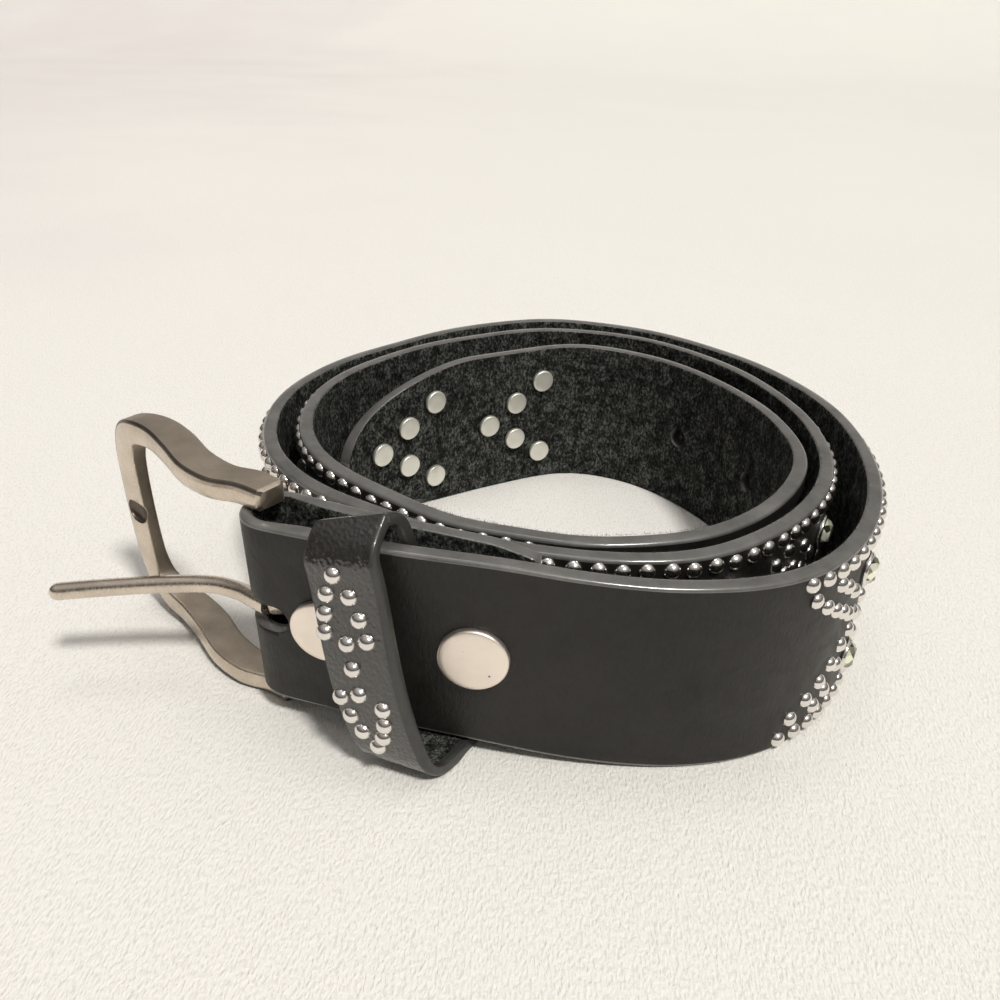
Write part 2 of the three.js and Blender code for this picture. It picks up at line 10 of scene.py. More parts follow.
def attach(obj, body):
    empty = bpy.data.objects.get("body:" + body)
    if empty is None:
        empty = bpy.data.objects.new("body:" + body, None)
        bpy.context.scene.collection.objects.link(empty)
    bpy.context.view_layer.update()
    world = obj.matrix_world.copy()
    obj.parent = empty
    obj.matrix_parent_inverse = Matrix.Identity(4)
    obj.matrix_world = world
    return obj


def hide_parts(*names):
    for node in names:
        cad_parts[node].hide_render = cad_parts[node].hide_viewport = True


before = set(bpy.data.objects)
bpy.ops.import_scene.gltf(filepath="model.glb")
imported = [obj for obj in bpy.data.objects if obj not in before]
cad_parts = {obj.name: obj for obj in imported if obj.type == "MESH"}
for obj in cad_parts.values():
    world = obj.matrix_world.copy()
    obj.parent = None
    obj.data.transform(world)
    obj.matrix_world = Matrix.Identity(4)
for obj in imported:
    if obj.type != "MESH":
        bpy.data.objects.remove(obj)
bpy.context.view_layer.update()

MM = 0.001
SHIFT = np.array([15.479, 2.694, 0.0])  # from the coil's middle to the middle of the whole belt, mm
rng = np.random.default_rng(7)

# Sizes of the belt, in mm, as in its source
CLEARANCE = 0.3
COIL_REACH = 70.0
STRAP_WIDTH, STRAP_THICKNESS = 38.0, 3.1
TIP_LENGTH, TIP_ROUNDNESS = 42.0, 0.62
FOLD_AT, FOLD_LEAN, FOLD_GAP, FOLD_THICKNESS = 229.7, 4.0, 6.9, 2.3
FLAP_END_AT = 264.5
HOLE_DIAMETER, HOLE_PITCH, HOLE_COUNT, HOLE_FROM_TIP = 5.0, 29.0, 5, 108.3
FRAME_DEPTH, FRAME_WIDTH, FRAME_REACH, BAR_DIAMETER, FRAME_SWING = 6.4, 4.1, 47.0, 4.2, 21.0
TONGUE_DIAMETER, TONGUE_REACH, TONGUE_WALL, TONGUE_SWING = 3.7, 46.0, 1.4, 15.0
SLOT_HEIGHT, SLOT_PAST = 5.6, 2.6
KEEPER_WIDTH, KEEPER_THICKNESS, KEEPER_FROM_FOLD = 12.3, 2.1, 22.8
KEEPER_ROOM, KEEPER_STAND = 2.0, 7.4
LEAN_OUT, LEAN_UP, ALONG_OUT, ALONG_UP = 0.48, 0.33, 0.16, 0.25
CAP_DIAMETER, CAP_HEIGHT, SOCKET_DIAMETER, SOCKET_HEIGHT = 12.4, 1.5, 7.2, 2.2
SHANK_DIAMETER, STUD_DIAMETER, PLATE_DIAMETER, PLATE_HEIGHT = 4.4, 3.2, 8.0, 0.5
SNAPS_FROM_FOLD = (10.6, 36.7)
SETTING_DIAMETER, SETTING_RIM, STONE_DIAMETER, TABLE_DIAMETER, STONE_HEIGHT = 6.8, 0.9, 6.0, 3.5, 1.9
FIRST_FROM_FOLD, PATTERN_PITCH, FROM_MIDDLE, PAIRS = 118.0, 32.4, 9.9, 20
BACK_DIAMETER, BACK_HEIGHT, HEAD_DIAMETER, HEAD_HEIGHT = 5.8, 1.2, 5.0, 1.3
CHEVRONS_FROM_TIP, CHEVRON_STEP, CHEVRON_RISE = (11.9, 45.9), 8.2, 5.2
DOME_DIAMETER, DOME_HEIGHT = 3.2, 1.15
PATTERN_START, PATTERN_END, EDGE_STUD_PITCH, EDGE_STUD_HEIGHT = 94.0, 842.0, 4.2, 16.8
# The studs that lead into the pattern, and those of the V at each stone: length and height
LEAD_IN = ((96, 12.8), (100, 10.2), (103.6, 8.0), (107.3, 5.8), (111, 3.6), (114.6, 1.8))
STONE_VEE = ((14.6, 13.4), (11.0, 11.6), (6.6, 8.4))

HALF = STRAP_WIDTH / 2
TURN_ROOM = STONE_HEIGHT + CLEARANCE
BAR_RADIUS = BAR_DIAMETER / 2
FRAME_HALF = HALF + 1.5 * CLEARANCE + FRAME_WIDTH
FOLD_LIFT = FRAME_HALF + FRAME_DEPTH / 2 * math.sin(math.radians(FOLD_LEAN)) - HALF

# Turn one, from the fold: degrees round the coil's middle, reach as a share of COIL_REACH
TURN_ONE = np.array([
    (222, 1.243), (229, 1.168), (236, 1.115), (243, 1.069), (250, 1.037), (257, 1.013), (264, 1.009),
    (277, 1.021), (291, 1.06), (303, 1.077), (316, 1.044), (330, 0.997), (345, 0.959), (360, 0.941),
    (380, 0.941), (400, 0.954), (420, 0.993), (443, 1.025), (454, 1.013), (466, 0.974), (479, 0.928),
    (493, 0.897), (507, 0.901), (530, 0.93), (560, 0.946), (574, 0.927), (589, 0.88),
])
# The turns inside it: degrees, layers of leather and room, as a share of TURN_ROOM
INNER_TURNS = np.array([
    (589, 2, 6.4), (596, 2, 5), (603, 2, 3.45), (610, 2, 2.5), (617, 2, 1.95), (625, 2, 1.46),
    (632, 1, 2.5), (651, 1, 3.2), (663, 1, 4.4), (676, 1, 4), (690, 1, 3.05), (705, 1, 2.5),
    (740, 1, 2.5), (780, 1, 1.9), (826, 1, 2.4), (853, 1, 1.4), (890, 1, 1.65), (934, 1, 2.2),
    (956, 1, 1.05), (977, 1, 0.66), (990, 1, 0.85), (1005, 1, 1.5), (1023, 1, 1.15), (1050, 1, 1.02),
    (1063, 1, 1.05), (1076, 1, 1.6), (1108, 1, 2.8), (1136, 1, 3.9), (1160, 1, 4.7), (1180, 1, 5.8),
    (1210, 1, 5), (1230, 1, 4), (1242, 1, 2.2), (1252, 1, 0.5),
])
# How the buckle end is held off the floor: degrees, lift and lean as shares
RISE = np.array([
    (229, 1, 1), (236, 0.95, 0.95), (250, 0.78, 0.6), (260, 0.58, 0.25), (270, 0.33, 0.08),
    (282, 0.08, 0), (292, 0, 0),
])
# The flap behind the front stretch: degrees and gap as a share of FOLD_GAP
FLAP = np.array([
    (229, 1), (236, 0.87), (243, 0.75), (250, 0.62), (254.5, 0.5), (258.5, 0.41), (261.5, 0.24),
    (264.5, 0.07),
])
# One arm of the buckle: out, up, forward, depth, width
ARM = np.array([
    (-0.035, 1, 0, 0.9, 1), (0.08, 1, 0.1, 1, 1), (0.2, 0.99, 0.4, 1.05, 1),
    (0.36, 0.985, 0.4, 1.1, 1.02), (0.54, 0.98, 0.1, 1.1, 1.06), (0.7, 0.98, -0.05, 0.98, 1.12),
    (0.83, 0.95, 0, 0.82, 1.22), (0.93, 0.85, 0, 0.66, 1.38), (0.98, 0.64, 0, 0.56, 1.5),
    (0.995, 0.36, 0, 0.52, 1.55), (1, 0, 0, 0.5, 1.6),
])
# The tongue's middle line: out, aside, down, as shares of TONGUE_REACH
TONGUE = np.array([
    (0.026, 0.075, 0), (0.088, 0.025, 0.015), (0.187, -0.05, 0.035), (0.308, -0.09, 0.042),
    (0.47, -0.082, 0.045), (0.73, -0.04, 0.052), (1, 0.01, 0.065),
])


def table_at(rows, at, column=1):
    """One column of a table at any places, on a smooth curve through its rows."""
    xs, ys = rows[:, 0], rows[:, column]
    at = np.clip(np.asarray(at, float), xs[0], xs[-1])
    i = np.clip(np.searchsorted(xs, at, side="right"), 1, len(xs) - 1)
    ex, ey = (np.concatenate([v[:1], v, v[-1:]]) for v in (xs, ys))
    slope = (ey[2:] - ey[:-2]) / np.maximum(ex[2:] - ex[:-2], 1)
    span = xs[i] - xs[i - 1]
    t = (at - xs[i - 1]) / span
    u = 1 - t
    return (
        u * u * (1 + 2 * t) * ys[i - 1]
        + t * t * (1 + 2 * u) * ys[i]
        + t * u * (u * slope[i - 1] - t * slope[i]) * span
    )


def reach_at(at):
    at = np.atleast_1d(np.asarray(at, float))
    out = COIL_REACH * table_at(TURN_ONE, np.minimum(at, TURN_ONE[-1, 0]))
    inner = at > TURN_ONE[-1, 0]
    if inner.any():
        a = at[inner]
        leather = STRAP_THICKNESS * table_at(INNER_TURNS, a, 1)
        out[inner] = reach_at(a - 360) - leather - TURN_ROOM * table_at(INNER_TURNS, a, 2)
    return out


def plan(at):
    at = np.atleast_1d(np.asarray(at, float))
    reach = sum(reach_at(at + 4 * k) for k in (-2, -1, -1, 0, 0, 0, 1, 1, 2)) / 9
    return np.stack([np.cos(np.radians(at)), np.sin(np.radians(at))], 1) * reach[:, None]


def unit(v):
    return v / np.linalg.norm(v, axis=-1, keepdims=True)


def along_at(at):
    return unit(plan(np.asarray(at) + 0.5) - plan(np.asarray(at) - 0.5))


def out_at(at):
    a = along_at(at)
    return np.stack([a[:, 1], -a[:, 0]], 1)


FOLD_OUT = out_at(FOLD_AT)[0]
FOLD_ALONG = along_at(FOLD_AT)[0]
FOLD_RADIUS = STRAP_THICKNESS + FOLD_GAP / 2
FOLD_CENTRE = plan(FOLD_AT)[0] - FOLD_OUT * FOLD_RADIUS


def strap_route():
    """The strap's outer face at mid height: rows of x, y, lift, tilt x, tilt y, length."""
    rows = []

    def add(points, at, ways):
        lean = math.radians(FOLD_LEAN) * np.where(at < 292, table_at(RISE, at, 2), 0)
        lift = FOLD_LIFT * np.where(at < 292, table_at(RISE, at, 1), 0)
        tilt = ways * np.tan(lean)[:, None]
        rows.append(np.column_stack([points, lift, tilt]))

    at = np.arange(FLAP_END_AT, FOLD_AT, -1.5)
    inset = 2 * STRAP_THICKNESS + FOLD_GAP * table_at(FLAP, at)
    add(plan(at) - out_at(at) * inset[:, None], at, out_at(at))
    flap_points = len(at)
    turn = np.linspace(0, math.pi, 13)
    bend = (
        FOLD_CENTRE
        - FOLD_OUT * FOLD_RADIUS * np.cos(turn)[:, None]
        - FOLD_ALONG * FOLD_RADIUS * np.sin(turn)[:, None]
    )
    add(bend, np.full(len(turn), FOLD_AT), np.tile(FOLD_OUT, (len(turn), 1)))
    fold_points = flap_points + len(turn)
    at = np.arange(FOLD_AT + 1, INNER_TURNS[-1, 0] + 1e-6, 1.0)
    add(plan(at), at, out_at(at))
    rows = np.vstack(rows)
    step = np.linalg.norm(np.diff(rows[:, :2], axis=0), axis=1)
    length = np.concatenate([[0], np.cumsum(step)])
    return rows, length, length[flap_points], length[fold_points - 1]


ROUTE, ROUTE_AT, FOLD_START, FRONT_START = strap_route()
STRAP_LENGTH = ROUTE_AT[-1]

# A fine copy of the route, evened out a little so that its facets don't show
FINE = 0.2
fine_at = np.arange(-4, STRAP_LENGTH + 4, FINE)
KERNEL = np.exp(-0.5 * (np.arange(-12, 13) * FINE / 0.8) ** 2)
KERNEL /= KERNEL.sum()


def fine_column(values):
    """A column of the route at fine steps, carried on straight past both ends, then evened out."""
    inside = np.interp(fine_at, ROUTE_AT, values)
    start = (values[1] - values[0]) / (ROUTE_AT[1] - ROUTE_AT[0])
    end = (values[-1] - values[-2]) / (ROUTE_AT[-1] - ROUTE_AT[-2])
    inside = np.where(fine_at < 0, values[0] + start * fine_at, inside)
    inside = np.where(fine_at > STRAP_LENGTH, values[-1] + end * (fine_at - STRAP_LENGTH), inside)
    pad = len(KERNEL) // 2
    return np.convolve(np.pad(inside, pad, mode="edge"), KERNEL, mode="valid")


FINE_ROUTE = np.column_stack([fine_column(ROUTE[:, i]) for i in range(5)])
FINE_ALONG = unit(np.gradient(FINE_ROUTE[:, :2], axis=0))


def strap_place(s):
    """Places on the strap's outer face at mid height: point, along, out and up for each length."""
    s = np.atleast_1d(np.asarray(s, float))
    cols = [np.interp(s, fine_at, FINE_ROUTE[:, i]) for i in range(5)]
    ax, ay = (np.interp(s, fine_at, FINE_ALONG[:, i]) for i in range(2))
    zero, one = np.zeros_like(s), np.ones_like(s)
    along = unit(np.column_stack([ax, ay, zero]))
    out = np.column_stack([along[:, 1], -along[:, 0], zero])
    point = np.column_stack([cols[0], cols[1], HALF + cols[2]])
    up = np.column_stack([cols[3], cols[4], one])
    return point, along, out, up


def place_on_strap(s, height):
    """Origins and axes (n, 3, 3: along, upward, outward) for pieces that stand on the strap."""
    point, along, _, up = strap_place(s)
    origin = point + up * np.asarray(height, float).reshape(-1, 1)
    upward = unit(up)
    return origin, np.stack([along, upward, unit(np.cross(along, upward))], 1)


def half_width_at(s):
    left = (STRAP_LENGTH - np.asarray(s, float)) / TIP_LENGTH
    bell = np.maximum(1 - (1 - np.minimum(left, 1)) ** 2, 0.004) ** TIP_ROUNDNESS
    return HALF * np.where(left >= 1, 1, bell)


def thickness_at(s):
    s = np.asarray(s, float)
    away = np.maximum(np.maximum(FOLD_START - s, s - FRONT_START), 0) / FOLD_GAP
    return FOLD_THICKNESS + (STRAP_THICKNESS - FOLD_THICKNESS) * np.minimum(away, 1)


# ---- Materials

class Nodes:
    """A node material, built in a few words. A value that is a socket gets linked."""

    def __init__(self, name):
        self.material = bpy.data.materials.new(name)
        self.material.use_nodes = True
        self.tree = self.material.node_tree
        self.shader = self.tree.nodes["Principled BSDF"]

    def add(self, kind, inputs=None, **settings):
        node = self.tree.nodes.new("ShaderNode" + kind)
        for key, value in settings.items():
            setattr(node, key, value)
        for key, value in (inputs or {}).items():
            self.put(node.inputs[key], value)
        return node

    def put(self, socket, value):
        if isinstance(value, bpy.types.NodeSocket):
            self.tree.links.new(value, socket)
        else:
            socket.default_value = value

    def set(self, **inputs):
        for key, value in inputs.items():
            self.put(self.shader.inputs[key.replace("_", " ")], value)

    def place(self):
        return self.add("TexCoord").outputs["Object"]

    def stretched(self, scale):
        return self.add("Mapping", {"Vector": self.place(), "Scale": scale}).outputs[0]

    def noise(self, scale, detail=3.0, roughness=0.5, vector=None, distortion=0.0):
        node = self.add("TexNoise", {
            "Vector": vector or self.place(), "Scale": scale, "Detail": detail,
            "Roughness": roughness, "Distortion": distortion,
        })
        return node.outputs[0]

    def cells(self, scale, feature="F1", vector=None, randomness=1.0):
        node = self.add("TexVoronoi", {
            "Vector": vector or self.place(), "Scale": scale, "Randomness": randomness,
        }, feature=feature)
        return node.outputs["Distance"]

    def math(self, operation, a, b=0.0):
        return self.add("Math", {0: a, 1: b}, operation=operation).outputs[0]

    def ramp(self, value, stops):
        node = self.add("ValToRGB", {"Fac": value})
        ramp = node.color_ramp
        while len(ramp.elements) < len(stops):
            ramp.elements.new(0.5)
        for element, (at, colour) in zip(ramp.elements, stops):
            element.position = at
            element.color = (*colour, 1) if len(colour) == 3 else colour
        return node.outputs["Color"]

    def span(self, value, low, high, to_low, to_high):
        return self.add("MapRange", {
            "Value": value, "From Min": low, "From Max": high, "To Min": to_low, "To Max": to_high,
        }).outputs[0]

    def bump(self, height, strength, distance_mm, normal=None):
        inputs = {"Height": height, "Strength": strength, "Distance": distance_mm * MM}
        if normal:
            inputs["Normal"] = normal
        return self.add("Bump", inputs).outputs["Normal"]


def leather_grain(name, pebbled):
    """Smooth black leather: fine upright pores and faint scuffs, or a shiny pebbled grain."""
    n = Nodes(name)
    pores = n.noise(1500, 4, 0.65, vector=n.stretched((1, 1, 0.4)))
    broad = n.noise(45, 4, 0.6)
    scuff = n.noise(190, 5, 0.65, distortion=0.8)
    tone = n.math("ADD", n.math("MULTIPLY", broad, 0.6), n.math("MULTIPLY", pores, 0.4))
    low, high = (0.26, 0.42) if pebbled else (0.42, 0.56)
    n.set(
        Base_Color=n.ramp(tone, [
            (0.36, (0.0052, 0.0042, 0.0034)), (0.64, (0.0140, 0.0115, 0.0096)),
        ]),
        Roughness=n.span(scuff, 0.35, 0.7, low, high),
        Specular_IOR_Level=0.5 if pebbled else 0.42,
    )
    normal = n.bump(pores, 0.85, 0.13)
    normal = n.bump(broad, 0.25, 0.8, normal)
    if pebbled:
        pebbles = n.cells(1400, "SMOOTH_F1")
        normal = n.bump(pebbles, 0.8, 0.2, normal)
        n.set(Coat_Weight=0.8, Coat_Roughness=0.2, Coat_IOR=1.8, Coat_Normal=normal)
    n.set(Normal=normal)
    return n.material


def leather_edge(name, dark, light, gloss):
    """A dyed and rubbed edge: satin, with faint fibres along it and a waxed corner."""
    n = Nodes(name)
    fibres = n.noise(900, 4, 0.7)
    broad = n.noise(140, 4, 0.65)
    n.set(
        Base_Color=n.ramp(broad, [(0.32, dark), (0.68, light)]),
        Roughness=n.span(fibres, 0.3, 0.7, 0.42, 0.58),
        Coat_Weight=gloss, Coat_Roughness=0.16, Coat_IOR=1.6,
    )
    normal = n.bump(fibres, 0.4, 0.09)
    n.set(Normal=n.bump(n.noise(260, 2), 0.3, 0.25, normal))
    return n.material


def leather_flesh(name):
    """The suede side: rough, nearly black nap with pale greenish specks."""
    n = Nodes(name)
    nap = n.noise(1700, 5, 0.75, vector=n.stretched((1, 1, 0.65)))
    tufts = n.noise(330, 4, 0.7)
    mixed = n.math("MULTIPLY", nap, n.math("ADD", tufts, 0.48))
    n.set(
        Base_Color=n.ramp(mixed, [
            (0.38, (0.0045, 0.0048, 0.0045)), (0.50, (0.0300, 0.0318, 0.0295)),
            (0.66, (0.150, 0.158, 0.142)),
        ]),
        Roughness=0.95, Specular_IOR_Level=0.08,
    )
    normal = n.bump(nap, 1.0, 0.5)
    n.set(Normal=n.bump(tufts, 0.8, 0.8, normal))
    return n.material


def hair_fibre(name):
    n = Nodes(name)
    tone = n.noise(400, 2)
    n.set(
        Base_Color=n.ramp(tone, [(0.45, (0.006, 0.0065, 0.006)), (0.7, (0.05, 0.054, 0.048))]),
        Roughness=0.8,
    )
    return n.material


SPECK_TONE = (0.126, 0.12, 0.1142857)


def metal(name, light, dark, rough, fine_scale, sand=0.0, scratch=0.0, metallic=1.0, specks=0.0):
    """Plated metal with uneven tone, and sand texture, scratches or dark specks as asked."""
    n = Nodes(name)
    tone = n.noise(140, 4, 0.6)
    fine = n.noise(fine_scale, 3, 0.6)
    if specks:
        dots = n.span(n.noise(520, 1), specks, specks + 0.03, 0, 0.5)
        tone = n.math("SUBTRACT", tone, dots)
    n.set(
        Base_Color=n.ramp(tone, [(0.0, SPECK_TONE), (0.32, dark), (0.68, light)]),
        Metallic=metallic,
        Roughness=n.span(fine, 0.3, 0.7, rough[0], rough[1]),
    )
    normal = n.bump(n.noise(140, 4, 0.6), 0.12, 0.3)
    if sand:
        normal = n.bump(fine, sand, 0.07, normal)
    if scratch:
        lines = n.noise(130, 6, 0.75, vector=n.stretched((1, 1, 6)), distortion=2.5)
        normal = n.bump(lines, scratch, 0.12, normal)
    n.set(Normal=normal)
    return n.material


def cut_glass(name):
    """Foil-backed cut glass, with a painted reflection: each facet gets a fixed light or dark tone that
    stands in for the glints of the foil behind it.
    """
    n = Nodes(name)
    # Painted reflection: each facet's fixed tone below stands in for what the foil reflects.
    painted_facet_glint = n.add("Attribute", attribute_name="painted_facet_glint").outputs["Fac"]
    n.set(
        Base_Color=n.ramp(painted_facet_glint, [
            (0.0, (0.03, 0.032, 0.024)), (0.3, (0.24, 0.25, 0.16)), (0.55, (0.66, 0.68, 0.48)),
            (0.8, (0.88, 0.89, 0.70)), (1.0, (0.96, 0.96, 0.86)),
        ]),
        Metallic=n.span(painted_facet_glint, 0, 1, 0.3, 0.5),
        Roughness=n.span(n.noise(900, 2), 0.3, 0.7, 0.05, 0.13),
        Coat_Weight=1.0, Coat_Roughness=0.03,
    )
    return n.material


def floor_material(name):
    """Pale paper with a fine pebbled emboss, with painted shade: greyer towards the far left, and darker in
    the emboss's crevices.
    """
    n = Nodes(name)
    way = n.stretched((1, 0.45, 1))
    pebble = n.noise(2000, 2, 0.5, vector=way, distortion=0.2)
    swell = n.noise(330, 3, 0.6, vector=way)
    # Painted shade: the floor's tone turns greyer towards the far left, mixed with random patches of tone.
    aside = n.add("SeparateXYZ", {"Vector": n.place()}).outputs["X"]
    patches = n.math("MULTIPLY", n.noise(5, 2), 0.5)
    broad = n.math("ADD", n.span(aside, -0.6, 0.3, 0, 0.5), patches)
    # Painted shade: the low parts of the pebbled emboss are darkened.
    painted_crevice_shade = n.span(pebble, 0.32, 0.50, 0.90, 1.0)
    tone = n.ramp(broad, [
        (0.2, (0.745, 0.705, 0.690)), (0.5, (0.800, 0.780, 0.745)), (0.8, (0.815, 0.805, 0.750)),
    ])
    shade = n.add("CombineXYZ", {"X": painted_crevice_shade, "Y": painted_crevice_shade, "Z": painted_crevice_shade}).outputs[0]
    shaded = n.add("VectorMath", {0: tone, 1: shade}, operation="MULTIPLY").outputs[0]
    n.set(Base_Color=shaded, Roughness=0.72)
    normal = n.bump(pebble, 0.85, 0.45)
    n.set(Normal=n.bump(swell, 0.35, 0.5, normal))
    return n.material


GRAIN = leather_grain("strap_grain", False)
KEEPER_GRAIN = leather_grain("keeper_grain", True)
EDGE = leather_edge("strap_edge", (0.066, 0.064, 0.060), (0.128, 0.125, 0.117), 0.85)
# The keeper's edge: dark dyed leather, made far darker than the strap's edge to paint in the shade at the
# keeper's side.
KEEPER_EDGE_PAINTED_SHADE = leather_edge("keeper_edge_painted_shade", (0.012, 0.0115, 0.0105), (0.030, 0.029, 0.026), 0.5)
FLESH = leather_flesh("strap_flesh")
HAIR = hair_fibre("flesh_fibre")
STUD = metal("stud_silver", (0.86, 0.83, 0.80), (0.76, 0.73, 0.70), (0.14, 0.24), 900)
# The buckle's tones are painted light: the sandy sides and back are darker as painted shade, and the front
# is lighter as a painted highlight.
SAND_AND_PAINTED_SHADE = metal("buckle_sand_painted_shade", (0.50, 0.435, 0.355), (0.38, 0.325, 0.26), (0.42, 0.58), 2300, sand=0.6)
FRONT_PAINTED_HIGHLIGHT = metal("buckle_front_painted_highlight", (0.70, 0.615, 0.515), (0.54, 0.47, 0.385),
              (0.24, 0.38), 1900, sand=0.25)
# Painted shade: the ridge along the front outer corner and the inside of the leg's notch take the darkest
# tone.
RIDGE_PAINTED_SHADE = metal("buckle_ridge_painted_shade", (0.22, 0.19, 0.155), (0.12, 0.10, 0.085), (0.3, 0.45), 1900)
BRIGHT = metal("tongue_nickel", (0.74, 0.655, 0.56), (0.58, 0.51, 0.43),
               (0.20, 0.32), 1500, sand=0.1)
CAP = metal("snap_satin", (0.94, 0.85, 0.77), (0.88, 0.79, 0.71),
            (0.38, 0.5), 1400, scratch=0.12, specks=0.74)
BACK = metal("rivet_back", (0.86, 0.85, 0.77), (0.74, 0.73, 0.65),
             (0.34, 0.5), 1200, scratch=0.5, metallic=0.7)
GLASS = cut_glass("cut_stone")
FLOOR = floor_material("floor_paper_painted_shade")


# ---- Mesh helpers

def piece(name, verts, faces, materials, body="belt", tags=None, smooth=True, nodes=()):
    """A mesh piece from points in mm round the coil's middle, riding on a body."""
    mesh = bpy.data.meshes.new(name)
    points = (np.asarray(verts, float) + SHIFT) * MM
    mesh.from_pydata(points.tolist(), [], [list(map(int, f)) for f in faces])
    for m in materials:
        mesh.materials.append(m)
    if tags is not None:
        mesh.polygons.foreach_set("material_index", np.asarray(tags, np.int32))
    mesh.polygons.foreach_set("use_smooth", [smooth] * len(mesh.polygons))
    mesh.update()
    obj = bpy.data.objects.new(name, mesh)
    bpy.context.scene.collection.objects.link(obj)
    if body:
        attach(obj, body)
    if nodes:
        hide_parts(*nodes)
    return obj


def strip(rows, columns, closed_rows=False):
    """Quads between rows of points, each row a ring of columns."""
    faces = []
    for r in range(rows if closed_rows else rows - 1):
        nr = (r + 1) % rows
        for c in range(columns):
            nc = (c + 1) % columns
            faces.append((r * columns + c, r * columns + nc, nr * columns + nc, nr * columns + c))
    return faces


def ends(rows, columns):
    """The two faces that close a strip's open ends."""
    return [tuple(range(columns))[::-1], tuple((rows - 1) * columns + c for c in range(columns))]


def renumbered(faces, by):
    return [tuple(i + by for i in f) for f in faces]


def arc(cx, cy, radius, start, end, count):
    turns = np.radians(np.linspace(start, end, count))
    return [(cx + radius * math.cos(t), cy + radius * math.sin(t)) for t in turns]


def lathe(profile, sides):
    """A turned shape about z from (radius, height) pairs, its ends closed on the axis."""
    turn = np.linspace(0, 2 * math.pi, sides, endpoint=False)
    verts, faces, rings = [], [], []
    for radius, height in profile:
        if radius < 1e-6:
            rings.append([len(verts)])
            verts.append((0, 0, height))
        else:
            start = len(verts)
            verts += [(radius * math.cos(t), radius * math.sin(t), height) for t in turn]
            rings.append(list(range(start, start + sides)))
    for a, b in zip(rings, rings[1:]):
        for i in range(sides):
            j = (i + 1) % sides
            if len(a) == 1 and len(b) == 1:
                continue
            if len(a) == 1:
                faces.append((a[0], b[i], b[j]))
            elif len(b) == 1:
                faces.append((a[i], b[0], a[j]))
            else:
                faces.append((a[i], b[i], b[j], a[j]))
    return np.array(verts, float), faces


def scatter(verts, faces, origins, axes, scales=None):
    """Copies of one small mesh at many places, as one mesh's points and faces."""
    count = len(verts)
    points, out = [], []
    for k, (origin, basis) in enumerate(zip(origins, axes)):
        scale = 1.0 if scales is None else scales[k]
        points.append(origin + (verts * scale) @ basis)
        out += renumbered(faces, k * count)
    return np.vstack(points), out


def smooth_by_angle(obj, degrees):
    """Turns all faces outwards, and keeps edges sharper than the angle sharp."""
    bm = bmesh.new()
    bm.from_mesh(obj.data)
    bmesh.ops.recalc_face_normals(bm, faces=bm.faces)
    for edge in bm.edges:
        edge.smooth = edge.calc_face_angle(0) < math.radians(degrees)
    bm.to_mesh(obj.data)
    bm.free()


def cut_out(obj, cutter):
    """Takes the cutter away from a piece's mesh, and then deletes the cutter."""
    smooth_by_angle(cutter, 180)
    modifier = obj.modifiers.new("cut", "BOOLEAN")
    modifier.operation = "DIFFERENCE"
    modifier.object = cutter
    modifier.solver = "EXACT"
    modifier.material_mode = "TRANSFER"
    bpy.context.view_layer.update()
    made = bpy.data.meshes.new_from_object(obj.evaluated_get(bpy.context.evaluated_depsgraph_get()))
    obj.modifiers.clear()
    obj.data = made
    bpy.data.objects.remove(cutter)
    return obj


# ---- The strap

def strap_profile(high, thick):
    """One ring round the strap: (outward, height, part), part 0 grain, 1 edge, 2 flesh."""
    round_out = min(0.75, high * 0.5)
    round_in = min(0.5, high * 0.4)
    face = high - round_out
    back = high - round_in
    crown = min(0.08, 0.1 * high)
    pts = [(0.0, h, 0) for h in np.linspace(-face, face, 30)]
    pts += [(x, y, 1) for x, y in arc(-round_out, face, round_out, 0, 90, 8)[1:]]
    pts += [(-thick / 2, high + crown, 1), (-thick + round_in, high, 1)]
    corner = arc(-thick + round_in, back, round_in, 90, 180, 5)[1:]
    pts += [(x, y, 1 if i < 2 else 2) for i, (x, y) in enumerate(corner)]
    pts += [(-thick, h, 2) for h in np.linspace(back, -back, 30)[1:]]
    pts += [(x, y, 2) for x, y in arc(-thick + round_in, -back, round_in, 180, 270, 5)[1:-1]]
    pts += [(-thick + round_in, -high, 1), (-thick / 2, -high, 1)]
    pts += [(x, y, 1) for x, y in arc(-round_out, -face, round_out, -90, 0, 8)[:-1]]
    return pts


def make_strap():
    tip_start = STRAP_LENGTH - TIP_LENGTH
    lengths = np.concatenate([
        np.arange(0, FOLD_START, 1.25),
        np.arange(FOLD_START, FRONT_START, 0.7),
        np.arange(FRONT_START, tip_start, 1.3),
        STRAP_LENGTH - TIP_LENGTH * np.linspace(1, 0, 46) ** 1.7,
    ])
    point, along, out, up = strap_place(lengths)
    high, thick = half_width_at(lengths), thickness_at(lengths)
    verts = []
    for i in range(len(lengths)):
        ring = strap_profile(high[i], thick[i])
        parts = [p[2] for p in ring]
        wave = 0.10 * math.sin(lengths[i] / 17.0) + 0.07 * math.sin(lengths[i] / 5.3)
        for outward, height, _ in ring:
            rise = wave * max(height / HALF, 0) ** 3
            verts.append(point[i] + out[i] * outward + up[i] * (height + rise))
    columns, rows = len(parts), len(lengths)
    faces = [f[::-1] for f in strip(rows, columns) + ends(rows, columns)]
    tags = [max(parts[c], parts[(c + 1) % columns]) for _ in range(rows - 1) for c in range(columns)]
    tags += [1, 1]
    strap = piece("strap_leather", verts, faces, [GRAIN, EDGE, FLESH], tags=tags)
    return cut_holes(strap)


